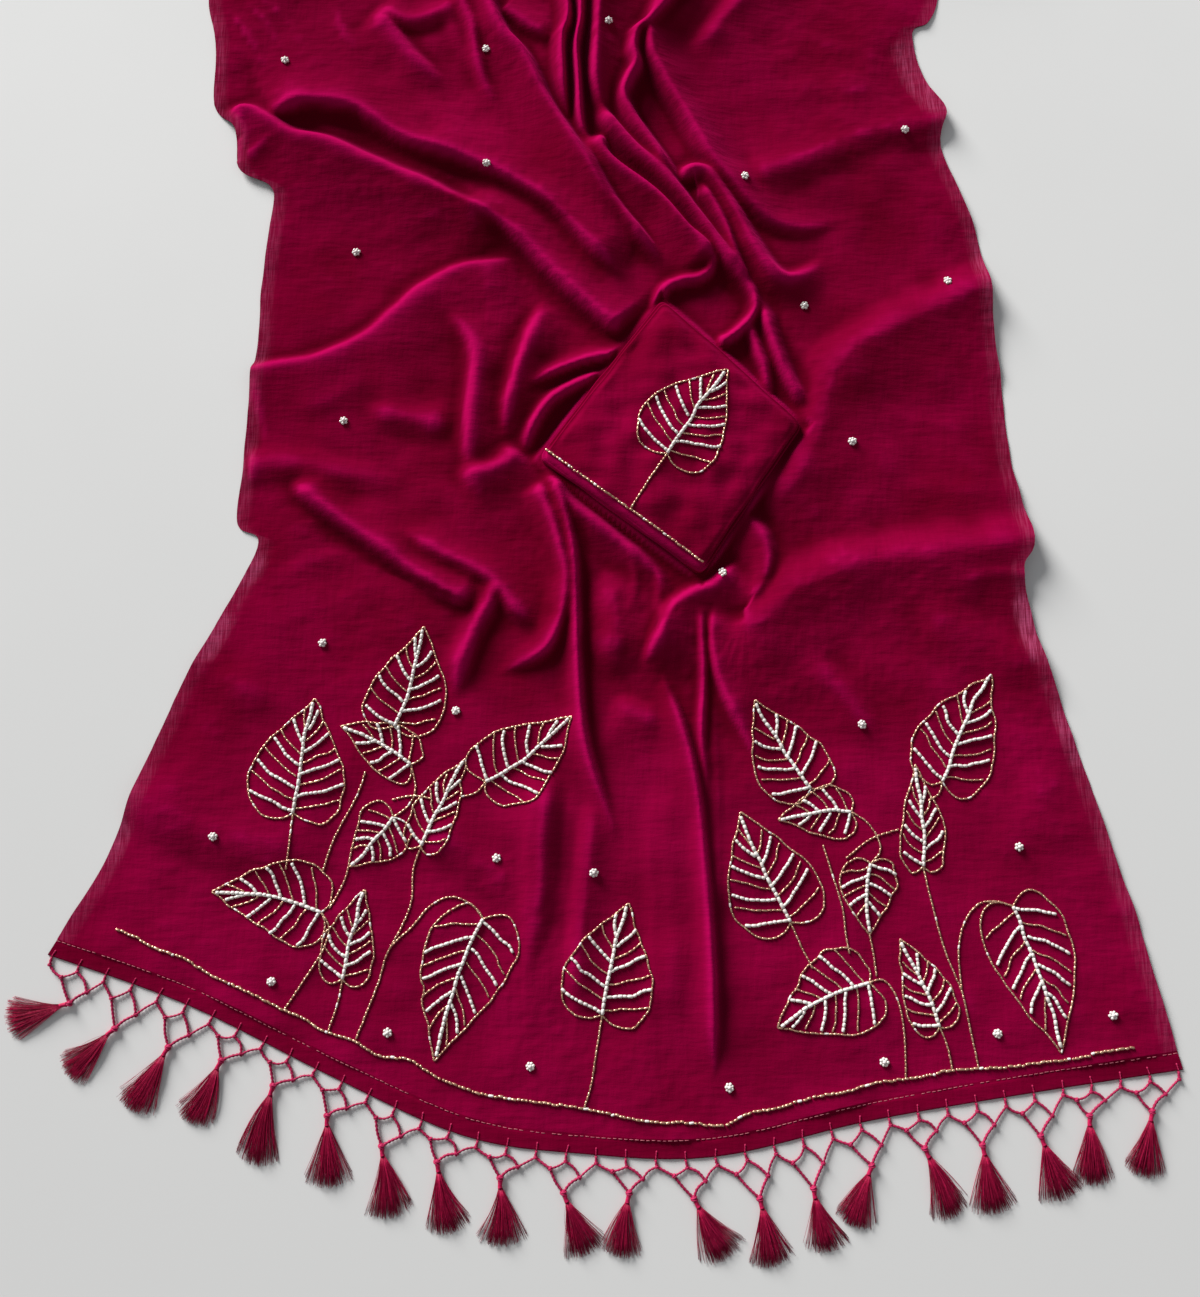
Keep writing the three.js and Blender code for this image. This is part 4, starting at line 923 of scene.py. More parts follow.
def hem_swell(share, depth):
    """Thickness of the hem: rounded at its edge, drawn in a little at each stitched cord"""
    stitches = 0.5 - 0.5 * np.cos(2 * math.pi * share * 2 * NET["units"])
    full = HEM_THICKNESS - 0.45 + 0.45 * stitches * np.exp(-depth / 7)
    edge = np.sqrt(np.clip(1 - (1 - np.clip(depth / 1.6, 0, 1)) ** 2, 0, 1))
    ridge = 1 - 0.45 * smooth_step((depth - 13.2) / 3.0)
    return full * (0.35 + 0.65 * edge) * ridge


def hem_top(share, depth):
    plan = hem_point(share, depth)
    x, y = plan[..., 0], plan[..., 1]
    rise = drape_height(x, y) + CLEARANCE
    seam = smooth_step((depth - 13.0) / 3.6)
    return upright(plan, (rise + hem_swell(share, depth)) * (1 - seam) + cloth_top(x, y) * seam)


def turned_hem():
    columns = 420
    depths = np.array([0.0, 0.25, 0.7, 1.4, 2.4, 4.0, 6.5, 9.0, 11.5, 13.0, 14.0, 15.0, 16.0,
                       HEM_WIDTH + SEAM_GAP])
    share = np.broadcast_to(np.linspace(0, 1, columns + 1), (len(depths), columns + 1))
    depth = np.broadcast_to(depths[:, None], share.shape)
    top = hem_top(share, depth)
    bottom = top.copy()
    bottom[..., 2] = np.maximum(0.05, drape_height(top[..., 0], top[..., 1]) + 0.05)
    bottom[0, :, 2] += 0.35
    piece = shell("pallu_hem_turned", top, bottom, grid_normals(top), HEM_FINISH, "georgette")
    give_points(piece, "thin", np.concatenate([0.10 * np.exp(-depth.ravel() / 1.2), 0 * depth.ravel()]))
    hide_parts("pallu_hem")
    return piece


def topstitching(rng):
    """Broken lines of thread along the hem, sunk in places"""
    pile, count = Pile(), int(WIDTH / STITCH["pitch"])
    sides, rings = 5, 4
    run = np.linspace(-0.5, 0.5, rings)
    paths, tints = [], []
    for i in range(count):
        if rng.random() < 0.10:
            continue
        share = (i + 0.5 + run * rng.uniform(0.55, 0.8)) / count
        depth = STITCH["inset"] + rng.normal(0, 0.12) + 0.5 * math.sin(i * 0.11) + 0 * run
        path = hem_top(share, depth)
        path[:, 2] += 0.10 + 0.16 * np.cos(run * math.pi)
        paths.append(path)
        tints.append(rng.uniform(0.25, 1))
    pile.add_copies(tube_points(paths, STITCH["thickness"], sides), tube_faces(rings, sides), tints)
    return pile.piece("hem_topstitching", THREAD_FINISH, "silk_thread")


# ---- The folded blouse piece ----
def moved_sides(corners, insets):
    """Corners of an anticlockwise outline with its sides moved in, all alike or each by its own inset"""
    corners = np.asarray(corners, float)
    ahead = unit(np.roll(corners, -1, axis=0) - corners)
    inwards = np.stack([-ahead[:, 1], ahead[:, 0]], axis=1)
    starts = corners + np.broadcast_to(insets, len(corners))[:, None] * inwards
    moved = []
    for i in range(len(corners)):
        before, direction, between = ahead[i - 1], ahead[i], starts[i] - starts[i - 1]
        cross = between[0] * direction[1] - between[1] * direction[0]
        turn = before[0] * direction[1] - before[1] * direction[0]
        moved.append(starts[i - 1] + before * cross / turn)
    return np.array(moved)


def rounded_outline(corners, insets, round_off):
    """Points round an outline with rounded corners"""
    per_corner, per_side = 7, 26
    drawn = moved_sides(corners, insets)
    points = []
    for i, corner in enumerate(drawn):
        following = drawn[(i + 1) % len(drawn)]
        onwards = unit(following - corner) * round_off
        before = corner + unit(drawn[i - 1] - corner) * round_off
        after, end = corner + onwards, following - onwards
        for t in np.linspace(0, 1, per_corner):
            points.append((1 - t) ** 2 * before + 2 * t * (1 - t) * corner + t * t * after)
        points += [after + (end - after) * k / per_side for k in range(1, per_side)]
    return np.array(points)


# How far the blouse piece's layers lie inside its outline on three sides, from the lowest layer up.
# The fourth side, at the lower left, is one rolled fold.
BLOUSE_LAYERS = table("lower_right upper_right upper_left", [
    (1.4, 0.6, 0.6), (0.4, 2.2, 0.9), (2.8, 3.0, 4.6),
])
BLOUSE_CREASES = table(FOLD_COLUMNS, [
    (1.3, 7, 4, 0.3, 0.3, [(48, 372), (108, 306), (190, 252)]),
    (1.0, 9, 9, 0.3, 0.3, [(-20, 208), (40, 190), (96, 118)]),
    (1.1, 5, 9, 0.3, 0.3, [(120, 120), (146, 176), (188, 222)]),
    (0.9, 8, 8, 0.3, 0.3, [(10, 262), (44, 292), (66, 340)]),
])
for crease in BLOUSE_CREASES:
    crease["line"] = Line(crease["path"])
BLOUSE_WAVES = wave_bank(seed=5, count=12, shortest=22, longest=80)


def blouse_seat(x, y):
    """Height of the blouse piece's underside"""
    return bed_height(x, y) + CLEARANCE + CLOTH + BLOUSE["seat"]


def blouse_top(x, y):
    """Height of the blouse piece's upper side: pillowed, with soft creases, thin at its edges"""
    inside = np.maximum(0, inside_blouse(x, y))
    pillow = 1 - np.exp(-inside / 9)
    creases = sum(fold_rise(x, y, crease) for crease in BLOUSE_CREASES)
    creases = creases + waves(x, y, BLOUSE_WAVES, steepness=0.0115)
    edge = blouse_seat(x, y) + BLOUSE["height"] - BLOUSE["crown"]
    return edge + BLOUSE["pillow"] * pillow + creases * smooth_step(inside / 14)


def blouse_piece():
    """Layers that bulge round the sides, up to a soft crowned top"""
    layers, height = BLOUSE["layers"], BLOUSE["height"] - BLOUSE["crown"]
    levels = [(0.0, 0, 3.6)]  # lift, layer and inset of each ring round the sides
    for layer in range(layers):
        for angle in np.radians(np.linspace(-80, 80, 9)):
            lift = (layer + 0.5 + 0.5 * math.sin(angle)) * height / layers
            levels.append((lift, layer, BLOUSE["bulge"] * (1 - math.cos(angle))))
    centre, rings = BLOUSE_CENTRE, []

    def ring(lift, sheet, inset):
        rolled = 1 - math.sqrt(max(0, 1 - (lift / height) ** BLOUSE["roll_power"]))
        insets = [BLOUSE["roll_inset"] + BLOUSE["roll"] * rolled]
        insets += [inset + side for side in BLOUSE_LAYERS[sheet].values()]
        outline = rounded_outline(BLOUSE_CORNERS, insets, BLOUSE["round"])
        turn = np.arctan2(*(outline - centre).T)
        layer = np.floor(lift / height * layers)
        wave = 0.45 * np.sin(7 * turn + 2.1 * layer) + 0.3 * np.sin(13 * turn + 1.3 * layer)
        outline = outline + unit(outline - centre) * wave[:, None]
        return upright(outline, blouse_seat(*outline.T) + lift)

    base = ring(0.0, 0, 5.4)
    for scale in (0.02, 0.3, 0.6, 0.85):
        flat = centre + (base[:, :2] - centre) * scale
        rings.append(upright(flat, blouse_seat(*flat.T)))
    under = len(rings)
    rings += [ring(*level) for level in levels]
    edge = rings[-1]
    for step in np.concatenate([np.linspace(0.985, 0.9, 6), np.linspace(0.87, 0.02, 32)]):
        flat = centre + (edge[:, :2] - centre) * step
        blend = smooth_step((1 - step) / 0.06)
        rings.append(upright(flat, edge[:, 2] * (1 - blend) + blouse_top(*flat.T) * blend))
    verts, count = np.concatenate(rings), len(rings[0])
    faces = tube_faces(len(rings), count)
    piece = mesh_piece("blouse_piece_folded", row(verts), faces, CLOTH_FINISH)
    from_roll = from_side(0, *verts[:, :2].T)
    # painted shade under the blouse piece and in the grooves between its layers
    painted_groove_shade = np.repeat([0.9 if r < under else 0.0 for r in range(len(rings))], count)
    for r, (_, _, inset) in enumerate(levels, start=under):
        part = slice(r * count, (r + 1) * count)
        painted_groove_shade[part] = 0.9 * smooth_step((inset - 0.5) / 1.3) * smooth_step((from_roll[part] - 12) / 8)
    give_points(piece, "painted_shade", painted_groove_shade)
    # painted highlight on the rolled side, which lies in shade
    crest = 0.75 * (1 - smooth_step((from_roll - 9) / 7)) * (verts[:, 2] > BED["rise"] - 2)
    give_points(piece, "crest", crest)
    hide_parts("blouse_piece")
    return piece


# ---- The rest of the length, folded to and fro ----
def stack_path(across, rng):
    """Places and levels, row by row, of the folded sheet, for shares of its width"""
    flat_rows, bend_rows = 9, 5
    panels, pitch = STACK["panels"], (STACK["height"] - 1.5) / (STACK["panels"] - 1)
    near = LEFT_EDGE[-1][1] + 0.2
    far = near + STACK["length"]
    noses = rng.uniform(-1, 1, (panels + 1, 4))
    path = []

    def add(place, level):
        path.append((place, np.full(across.shape, level)))

    for panel in range(panels):
        level, away = panel * pitch, panel % 2 == 0
        ends = []
        for nose, edge, sign in ((panel, near, 1), (panel + 1, far, -1)):
            index = nose if away else 2 * panel + 1 - nose
            a, b, c, d = noses[index]
            wander = 1 + 0.5 * a * np.sin(6 * across + 3 * b) + 0.5 * c * np.sin(17 * across + 3 * d)
            ends.append(edge + sign * (pitch + STACK["nose_wander"] * (0.5 * wander)))
        start, stop = ends if away else ends[::-1]
        if panel == 0:
            start = np.full(across.shape, near)
        for t in np.linspace(0, 1, flat_rows)[1 if panel else 0:-1]:
            add(start + (stop - start) * t, level)
        if panel == panels - 1:
            add(stop, level)
            break
        sign = 1 if away else -1
        for angle in np.radians(np.linspace(-90, 90, bend_rows)):
            out = sign * 0.5 * pitch * math.cos(angle)
            add(stop + out, level + pitch * (0.5 + 0.5 * math.sin(angle)))
    return np.array([place for place, _ in path]), np.array([level for _, level in path])


def folded_rest(rng):
    """A sheet that runs back and forth, its folds lying unevenly over one another"""
    columns, margin = 72, 4
    across = np.linspace(0, 1, columns + 1)
    y, level = stack_path(across, rng)
    left = (FAR.points[0][0] + FAR.points[-1][0] - STACK["width"]) / 2
    side_wander = 2.2 * np.sin(level * 1.9) + 1.4 * np.sin(y / 31 + level * 2.6)
    near_side = np.exp(-across / 0.03) - np.exp(-(1 - across) / 0.03)
    x = left + margin + across * (STACK["width"] - 2 * margin) + near_side * side_wander
    swell = 0.5 * waves(x, y, SLACK_WAVES, 0.004) * level / STACK["height"]
    z = CLEARANCE + 0.05 + level + np.clip(swell, -0.8, 1.2)
    middle = np.stack([x, y, z], axis=-1)
    normals = grid_normals(middle)
    top = middle + normals * CLOTH
    piece = shell("folded_rest_cloth", top, middle, normals, CLOTH_FINISH, "georgette")
    pale = np.maximum(np.exp(-across / 0.004), np.exp(-(1 - across) / 0.004)) * 0.3
    give_points(piece, "thin", np.tile(np.broadcast_to(pale, x.shape).ravel(), 2))
    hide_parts("folded_rest")
    return piece


# ---- The knotted net ----
def root_shares():
    """Shares of the width at which the net's cords leave the hem"""
    last = 2 * NET["units"]
    return ROOT_MARGIN + (1 - 2 * ROOT_MARGIN) * np.arange(last + 1) / last


def net_units():
    """Roots along the hem and, for each tassel, its two inner knots and its tip, in plan"""
    share = root_shares()
    ahead = unit(HEM.at(share + ROOT_MARGIN) - HEM.at(share - ROOT_MARGIN))
    roots = HEM.at(share) + 0.6 * np.stack([ahead[:, 1], -ahead[:, 0]], axis=1)
    units = []
    for number, tassel in enumerate(TASSELS):
        left, centre, right = roots[2 * number:2 * number + 3]
        tip = np.array(tassel["head"], float)
        hang = tip - centre
        units.append(dict(
            roots=range(2 * number, 2 * number + 3), tip=tip, hang=hang,
            left_knot=(left + centre) / 2 + hang * NET["left_knot"],
            right_knot=(centre + right) / 2 + hang * NET["right_knot"],
        ))
    return roots, units


def knot(pile, plan, height, size, angle, rng, tint):
    """A tied knot: a rounded lump with two turns of cord across it"""
    verts, faces = ball((0, 0, 0), (size * 1.12, size, size * 0.92), 10, 7)
    verts = verts * (1 + 0.05 * np.sin(9 * verts[:, :1] + 5 * verts[:, 1:2]))
    spin, middle = turned(angle), np.array([*plan, height])
    pile.add(verts @ spin + middle, faces, tint)
    around = np.linspace(0, 2 * math.pi, 17)[:-1]
    for lean in (-0.45, 0.45):
        loop = np.stack([lean * size * 0.8 + 0.35 * size * np.sin(around + lean),
                         size * 1.02 * np.cos(around), size * 0.96 * np.sin(around)], axis=1)
        add_loop(pile, loop @ spin + middle, 0.36 * size, tint * rng.uniform(0.8, 1.2))


def add_loop(pile, loop, radius, tint):
    """A closed ring of cord through points"""
    sides = 5
    ahead = unit(np.roll(loop, -1, axis=0) - np.roll(loop, 1, axis=0))
    out = loop - loop.mean(axis=0)
    out = unit(out - ahead * np.sum(out * ahead, axis=1, keepdims=True))
    lift = np.cross(ahead, out)
    angle = (2 * math.pi * np.arange(sides) / sides)[:, None]
    rings = loop[:, None] + radius * (np.cos(angle) * out[:, None] + np.sin(angle) * lift[:, None])
    pile.add(rings, ring_faces(len(loop), sides, closed=True), tint)


def plied_cord(pile, knots, radius, tint):
    """A two-ply cord along a smooth line in space"""
    line, sides = Line(knots), 8
    rings = max(6, int(line.total / 1.15))
    path = line.at(np.linspace(0, 1, rings))
    points = tube_points(path[None], radius, sides, lobes=2, twist=1 / 7.5)
    pile.add(points[0], tube_faces(rings, sides), tint)


def bowed(a, b, bow, low, high):
    """Three points from a to b, the middle one pushed aside"""
    mid = a + (b - a) * 0.5 + unit(np.array([-(b - a)[1], (b - a)[0]])) * bow
    return [(*a, low), (*mid, (low + high) / 2), (*b, high)]


def knotted_net(rng):
    """Cords that leave the hem, fork, cross into diamonds and meet at each tassel"""
    pile, forks = Pile(), []
    roots, units = net_units()
    low, thick, thin = NET["low"], NET["radius"], 0.8 * NET["radius"]

    def tint():
        return rng.uniform(0.45, 0.9)

    for i, root in enumerate(roots):
        hang = unit(units[min(i // 2, len(units) - 1)]["hang"])
        if i % 2 == 0 and 0 < i < len(roots) - 1:
            hang = unit(hang + unit(units[i // 2 - 1]["hang"]))
        fork = root + hang * NET["stub"] * rng.uniform(0.85, 1.15)
        forks.append(fork)
        middle = (root + fork) / 2 + rng.normal(0, 0.2, 2)
        plied_cord(pile, [(*root, low), (*middle, low + 0.2), (*fork, low + 0.3)], thick, 0.6)
        knot(pile, fork, low + 0.5, KNOT["fork"], math.atan2(hang[1], hang[0]), rng, 0.7)
    for diamond in units:
        left, centre, right = (forks[i] for i in diamond["roots"])
        tip, left_knot, right_knot = (diamond[end] for end in ("tip", "left_knot", "right_knot"))
        # from, to, least and most bow, rise over the lowest cord at both ends, radius
        for start, end, least, most, from_rise, to_rise, radius in (
            (left, left_knot, -1.5, 0.5, 0.2, 0.8, thick), (left_knot, tip, -1.8, 0.4, 0.8, 1.0, thick),
            (centre, left_knot, 0.4, 2.2, 0.2, 1.0, thin), (centre, right_knot, 1.0, 3.0, 0.3, 0.8, thick),
            (right, right_knot, -2.2, 0.2, 0.2, 1.0, thin), (right_knot, tip, -2.4, -0.4, 0.8, 1.2, thick),
        ):
            knots = bowed(start, end, rng.uniform(least, most), low + from_rise, low + to_rise)
            plied_cord(pile, knots, radius, tint())
        angle = math.atan2(diamond["hang"][1], diamond["hang"][0])
        for place, lean in ((left_knot, 0.5), (right_knot, -0.5)):
            knot(pile, place, low + 0.9, KNOT["side"], angle + lean, rng, tint())
        knot(pile, tip, low + 1.5, KNOT["tip"], angle, rng, 0.85)
    piece = pile.piece("fringe_net_cords", CORD_FINISH, "silk_thread")
    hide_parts("fringe_net")
    return piece


def whip_stitches(rng):
    """Threads that hold each cord, over the edge of the hem"""
    pile, sides, rings = Pile(), 6, 22
    depths, lifts = np.array(WHIP_PATH).T
    for share in root_shares():
        lean = rng.normal(0, 0.0006)
        depth = depths + rng.normal(0, 0.25)
        slide = share + lean * depth / 6
        path = hem_top(np.clip(slide, 0, 1), np.maximum(depth, 0))
        path[:, :2] += (hem_point(slide, depth) - hem_point(slide, np.maximum(depth, 0)))
        path[:, 2] += lifts
        thread = Line(path).at(np.linspace(0, 1, rings))
        points = tube_points(thread[None], 0.62, sides, lobes=2, twist=1 / 5.0)
        pile.add(points[0], tube_faces(rings, sides), rng.uniform(0.55, 0.95))
        pile.add(*ball(path[1], (0.95, 0.95, 0.7), 8, 5), 0.8)
    return pile.piece("hem_whip_stitches", CORD_FINISH, "silk_thread")


# ---- Tassels ----
def wound_head(pile):
    """The neck, bound round with thread"""
    start, bound, sides, tint = 2.6, TASSEL["bound"], 10, 0.95
    run = np.arange(start, bound, 0.42)
    radii = 1.75 + 0.30 * np.abs(np.sin(run * math.pi / 0.84)) + 0.5 * np.exp(-(run - start) / 1.5)
    radii += 0.35 * np.exp(-((run - bound) ** 2) / 2.5)
    neck = np.stack([run, 0.2 * np.sin(run * 0.7), TASSEL["axis"] + 0 * run], axis=1)
    pile.add(tube_points(neck[None], radii, sides)[0], tube_faces(len(run), sides), tint)


def skirt_threads(pile, length, rng):
    """The skirt's threads, which fan out from the neck and settle; gives how far the skirt sways"""
    bound, axis = TASSEL["bound"], TASSEL["axis"]
    count, rings, sides = TASSEL["threads"], 6, 3
    t = np.linspace(0, 1, rings)
    side = np.clip(rng.normal(0, 0.48, count) + rng.uniform(-0.35, 0.35, count), -1.05, 1.05)[:, None]
    depth = rng.random(count)[:, None]
    sway, bend = rng.uniform(-3.0, 3.0), rng.uniform(-1.5, 1.5)
    flare = rng.uniform(0.95, 1.2)
    ends = length * (1 - 0.09 * side**2) * rng.uniform(0.84, 1.03, count)[:, None]
    spread = TASSEL["spread"] * rng.uniform(0.82, 1.08)
    x = bound - 1.2 + (ends + 1.2) * t
    y = side * (1.3 + spread * t**flare) + sway * t**1.6 + bend * np.sin(math.pi * t)
    crossing = rng.normal(0, 0.9, count)[:, None]
    y += crossing * np.sin(math.pi * t * rng.uniform(0.6, 1.8, count)[:, None]) * t
    low = 0.35 + 3.4 * depth * (1 - 0.55 * side**2)
    z = (axis + (depth - 0.5) * 2.4) * (1 - t**0.7) + low * t**0.7
    z += 1.2 * np.sin(math.pi * t) * depth
    radius = 0.27 * (1 - 0.35 * t) * rng.uniform(0.75, 1.25, count)[:, None]
    paths = np.stack([x, y, np.maximum(z, 0.3)], axis=-1)
    tints = rng.uniform(0.1, 1.0, count)
    pile.add_copies(tube_points(paths, radius, sides), tube_faces(rings, sides), tints)
    return sway


def stray_threads(pile, length, sway, rng):
    """A few threads that curl away to the sides"""
    count, rings, sides, furthest = TASSEL["strays"], 12, 3, 18
    t = np.linspace(0, 1, rings)
    side, curl = rng.uniform(-1, 1, count)[:, None], rng.uniform(-1, 1, count)[:, None]
    ends = length * rng.uniform(0.75, 1.0, count)[:, None]
    x = TASSEL["bound"] - 1 + ends * t * (1 - 0.1 * np.abs(curl) * t)
    y = side * 0.8 + (side * 15 + sway) * t**1.3 + curl * 4.0 * np.sin(math.pi * t * 1.3)
    z = TASSEL["axis"] * (1 - t) + 0.3 + 1.6 * np.sin(math.pi * t) * (0.5 + 0.5 * curl)
    paths = np.stack([x, np.clip(y, -furthest, furthest), np.maximum(0.25, z)], axis=-1)
    pile.add_copies(tube_points(paths, 0.13, sides), tube_faces(rings, sides), rng.uniform(0.4, 0.9, count))


def tassel_piece(number, tassel, rng):
    """A bound head and a skirt of loose threads, lying along its own axis"""
    pile = Pile()
    head, skirt = np.array(tassel["head"], float), np.array(tassel["skirt"], float)
    reach = np.linalg.norm(skirt - head)
    length = TASSEL["length"] + TASSEL["length_share"] * reach - TASSEL["bound"]
    wound_head(pile)
    sway = skirt_threads(pile, length, rng)
    stray_threads(pile, length, sway, rng)
    spin = turned(math.atan2(skirt[1] - head[1], skirt[0] - head[0]))
    pile.verts = [verts @ spin + [*head, 0] for verts in pile.verts]
    piece = pile.piece(f"tassel_{number:02d}_threads", SILK_FINISH, "silk_thread")
    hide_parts(f"tassel_{number:02d}")
    return piece


# ---- Beadwork ----
BEAD_PROFILE = [(0.0, 0.60), (0.10, 0.96), (0.5, 1.04), (0.90, 0.96), (1.0, 0.60)]  # run, swell
BEAD_SIDES = 6
SHORTEST_VEIN = 8
BEAD_SEAT = 0.86  # radii from a tube bead's axis down to the cloth


class Beadwork:
    """Tube beads strung along lines in plan, and round ones in clusters, laid on one surface"""

    def __init__(self, surface, rng):
        self.surface, self.rng = surface, rng
        self.tubes = dict(gold=[], white=[])
        self.rounds = []

    def string(self, knots, colour, length, radius, stray=0.16, accent=0.0):
        """Tube beads end to end; accent is the share of them that is white instead"""
        line = Line(knots)
        count = max(1, round(line.total / length))
        sizes = self.rng.uniform(0.75, 1.25, count)
        cuts = np.concatenate([[0], np.cumsum(sizes)]) / sizes.sum()
        gap = 0.12 / max(line.total, 1)
        starts, ends = line.at(cuts[:-1] + gap), line.at(cuts[1:] - gap)
        starts = starts + self.rng.normal(0, stray, starts.shape)
        ends = ends + self.rng.normal(0, stray, ends.shape)
        for start, end in zip(starts, ends):
            other = accent and self.rng.random() < accent
            kind = "white" if other else colour
            size = radius * self.rng.uniform(0.93, 1.07)
            self.tubes[kind].append((*start, *end, size, self.rng.uniform(0.3, 1.0)))

    def sewn(self, knots, pitch, sway):
        """A line through the same places that wanders as hand sewing does"""
        line = Line(knots)
        places = line.at(np.linspace(0, 1, max(2, round(line.total / pitch)) + 1))
        places[1:-1] += self.rng.normal(0, sway, places[1:-1].shape)
        return [tuple(place) for place in places]

    def flower(self, centre):
        """A ring of round beads about one"""
        count = int(self.rng.integers(FLOWER["fewest"], FLOWER["most"] + 1))
        turn = self.rng.uniform(0, 2 * math.pi)
        self.rounds.append((*centre, BEAD["round"] * 1.05, 1.2, 0.9))
        for i in range(count):
            angle = turn + 2 * math.pi * i / count
            away = FLOWER["ring"] * self.rng.uniform(0.88, 1.08)
            x, y = centre[0] + away * math.cos(angle), centre[1] + away * math.sin(angle)
            size = BEAD["round"] * self.rng.uniform(0.8, 1.0)
            self.rounds.append((x, y, size, 0.7, self.rng.uniform(0.5, 1)))

    def leaf(self, tip, base, width, bow):
        """Outline, midrib and side veins of one leaf"""
        tip, base = np.array(tip, float), np.array(base, float)
        ahead = tip - base
        length = np.linalg.norm(ahead)
        bowing = np.array([ahead[1], -ahead[0]])
        aside = bowing / length * width

        def at(along, lateral):
            bend = 4 * bow * along * (1 - along)
            return base + ahead * along + aside * lateral + bowing * bend

        for side in (1, -1):
            lean = self.rng.uniform(0.94, 1.06)
            half = [at(along, side * lateral * lean) for along, lateral in LEAF_OUTLINE]
            self.string(self.sewn(half, 11, 0.9), "gold", BEAD_LENGTH["outline"], BEAD["gold"], accent=0.05)
        spine = [at(t, 0.012 * math.sin(5 * t)) for t in (0.0, 0.2, 0.4, 0.6, 0.8, 0.965)]
        self.string(self.sewn(spine, 15, 0.7), "white", BEAD_LENGTH["midrib"], BEAD["white"], stray=0.12)
        count = 6 if length < 85 else 7 if length < 112 else 8  # veins on each side
        alongs, laterals = zip(*LEAF_OUTLINE[3:])
        for side in (1, -1):
            for i in range(count):
                root = 0.02 + 0.78 * (i + (0.22 if side > 0 else 0.0)) / count
                reach = root + (0.12 if i == 0 else 0.185) * self.rng.uniform(0.88, 1.12)
                edge = float(np.interp(reach, alongs, laterals))
                if edge * width < SHORTEST_VEIN:
                    continue
                end = at(reach, side * (edge - 1.8 / width))
                bent = at(root + self.rng.uniform(0.36, 0.5) * (reach - root), side * edge * 0.52)
                white = (i + (side > 0)) % 2 == 0
                radius = BEAD["white"] * 0.88 if white else BEAD["gold"] * 0.95
                curve = [at(root, side * 0.015), bent, end]
                colour = "white" if white else "gold"
                self.string(self.sewn(curve, 9, 0.7), colour, BEAD_LENGTH["vein"], radius, stray=0.14)

    def heights(self, plan):
        return self.surface(plan[:, 0], plan[:, 1])

    def settled(self, plan):
        """Where points drawn as seen lie on the surface"""
        there = plan
        for _ in range(4):
            there = brought_in(plan, self.heights(there))
        return there

    def tube_verts(self, rows):
        """Bevelled tubes that lie on the surface, with a tint for each"""
        rows = np.array(rows)
        starts, ends = self.settled(rows[:, 0:2]), self.settled(rows[:, 2:4])
        radius, tints = rows[:, 4], rows[:, 5]
        a = upright(starts, self.heights(starts) + BEAD_SEAT * radius)
        b = upright(ends, self.heights(ends) + BEAD_SEAT * radius)
        shares, swell = np.array(BEAD_PROFILE).T
        paths = a[:, None] + (b - a)[:, None] * shares[None, :, None]
        return tube_points(paths, radius[:, None] * swell, BEAD_SIDES), tints

    def make(self, name, colour, material, slot):
        pile = Pile()
        verts, tints = self.tube_verts(self.tubes[colour])
        pile.add_copies(verts, tube_faces(len(BEAD_PROFILE), BEAD_SIDES), tints)
        if colour == "white" and self.rounds:
            rows = np.array(self.rounds)
            rows[:, :2] = self.settled(rows[:, :2])
            heights = self.heights(rows[:, :2])
            for (x, y, size, lift, tint), height in zip(rows, heights):
                pile.add(*ball((x, y, height + size * lift), (size, size, size * 0.9)), tint)
        return pile.piece(name, material, slot)


def cloth_embroidery(rng):
    """Leaves, stems, border line and scattered flowers on the laid cloth"""
    work = Beadwork(cloth_top, rng)
    for leaf in LEAVES:
        work.leaf(**leaf)
    for stem in STEMS:
        work.string(stem, "gold", BEAD_LENGTH["stem"], BEAD["stem"], accent=0.03)
    work.string(BORDER_LINE, "gold", BEAD_LENGTH["border"], BEAD["border"], stray=0.42, accent=0.10)
    for centre in FLOWERS:
        work.flower(centre)
    return (work.make("embroidery_gold_beads", "gold", GOLD_FINISH, "gold_bead"),
            work.make("embroidery_white_beads", "white", WHITE_FINISH, "white_bead"))


def blouse_embroidery(rng):
    """The leaf, its stem and the border line on the blouse piece"""
    work = Beadwork(blouse_top, rng)
    work.leaf(**BLOUSE_LEAF)
    work.string(BLOUSE_STEM, "gold", BEAD_LENGTH["stem"], BEAD["stem"])
    work.string(BLOUSE_LINE, "gold", BEAD_LENGTH["border"], BEAD["border"], stray=0.35, accent=0.12)
    return (work.make("blouse_gold_beads", "gold", GOLD_FINISH, "gold_bead"),
            work.make("blouse_white_beads", "white", WHITE_FINISH, "white_bead"))


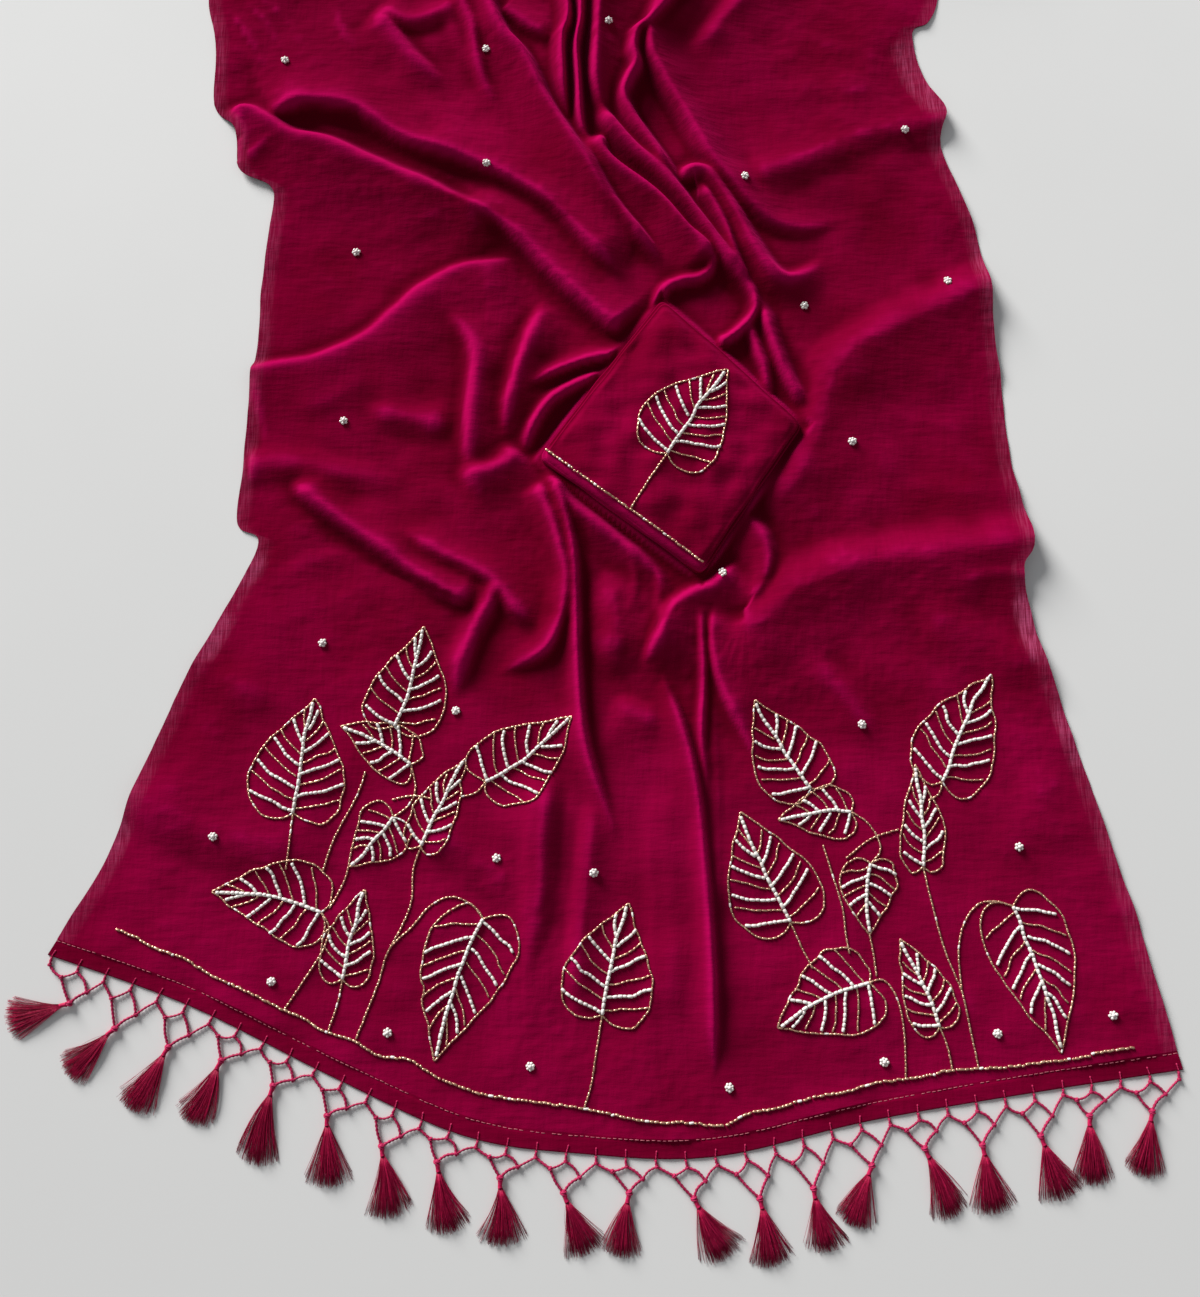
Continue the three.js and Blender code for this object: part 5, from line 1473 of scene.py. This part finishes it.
# ---- Stage ----
def pale_floor():
    """A pale painted floor with painted shade, a little darker towards the viewer; runs are metres away from
    the middle
    """
    finish = Finish("floor", FLOOR_GREY, 0.75)
    mottle = finish.ranged(finish.noise(3.0, 4.0), 0.3, 0.7)
    colour = finish.mix(mottle, tuple(0.97 * value for value in FLOOR_GREY), FLOOR_GREY)
    parts = finish.node("ShaderNodeSeparateXYZ")
    finish.link(finish.place((1, 1, 1)), parts.inputs["Vector"])
    # painted shade: the floor darkens towards the viewer, away from the window
    painted_light_falloff = finish.ranged(parts.outputs["Y"], -0.85, 0.35)
    colour = finish.mix(painted_light_falloff, tuple(0.87 * value for value in FLOOR_GREY), colour)
    finish.paint(colour)
    mesh = bpy.data.meshes.new("floor")
    signs = ((-1, -1), (1, -1), (1, 1), (-1, 1))
    mesh.from_pydata([(FLOOR_REACH * x, FLOOR_REACH * y, 0) for x, y in signs], [], [[0, 1, 2, 3]])
    mesh.materials.append(finish.material)
    added("floor", mesh)


def lights():
    """Even daylight from a wide window at the far left, in a pale room"""
    data = bpy.data.lights.new("window", "SUN")
    data.energy, data.angle = WINDOW["strength"], math.radians(WINDOW["spread"])
    data.color = WINDOW["colour"]
    light = added("window", data)
    x, y, z = light.location = WINDOW["place"]
    light.rotation_euler = (math.atan2(math.hypot(x, y), z), 0, math.atan2(x, -y))
    world = bpy.data.worlds.new("pale_room")
    world.use_nodes = True
    background = world.node_tree.nodes["Background"]
    background.inputs["Color"].default_value = (*ROOM["colour"], 1)
    background.inputs["Strength"].default_value = ROOM["strength"]
    bpy.context.scene.world = world


def photo_camera():
    """The photograph's place: above the blouse piece and tilted a little"""
    data = bpy.data.cameras.new("photo_camera")
    data.sensor_fit, data.sensor_width, data.lens = "AUTO", CAMERA["sensor"], CAMERA["lens"]
    data.clip_start, data.clip_end = CAMERA["near"], CAMERA["far"]
    camera = added("photo_camera", data)
    camera.location = row((*EYE["place"], EYE["height"]))
    camera.rotation_euler = (math.radians(CAMERA["tilt"]), 0, 0)
    bpy.context.scene.camera = camera


# ---- Assembly ----
photo_camera()
pale_floor()
lights()
bpy.context.scene.view_settings.view_transform = "Standard"

stretches = laid_cloth()
hem = turned_hem()
net = knotted_net(np.random.default_rng(31))
topstitch = topstitching(np.random.default_rng(32))
stitches = whip_stitches(np.random.default_rng(33))
tassels = [
    tassel_piece(number, tassel, np.random.default_rng(100 + number))
    for number, tassel in enumerate(TASSELS, start=1)
]
blouse = blouse_piece()
rest = folded_rest(np.random.default_rng(34))
sewn = cloth_embroidery(np.random.default_rng(35))
blouse_sewn = blouse_embroidery(np.random.default_rng(36))
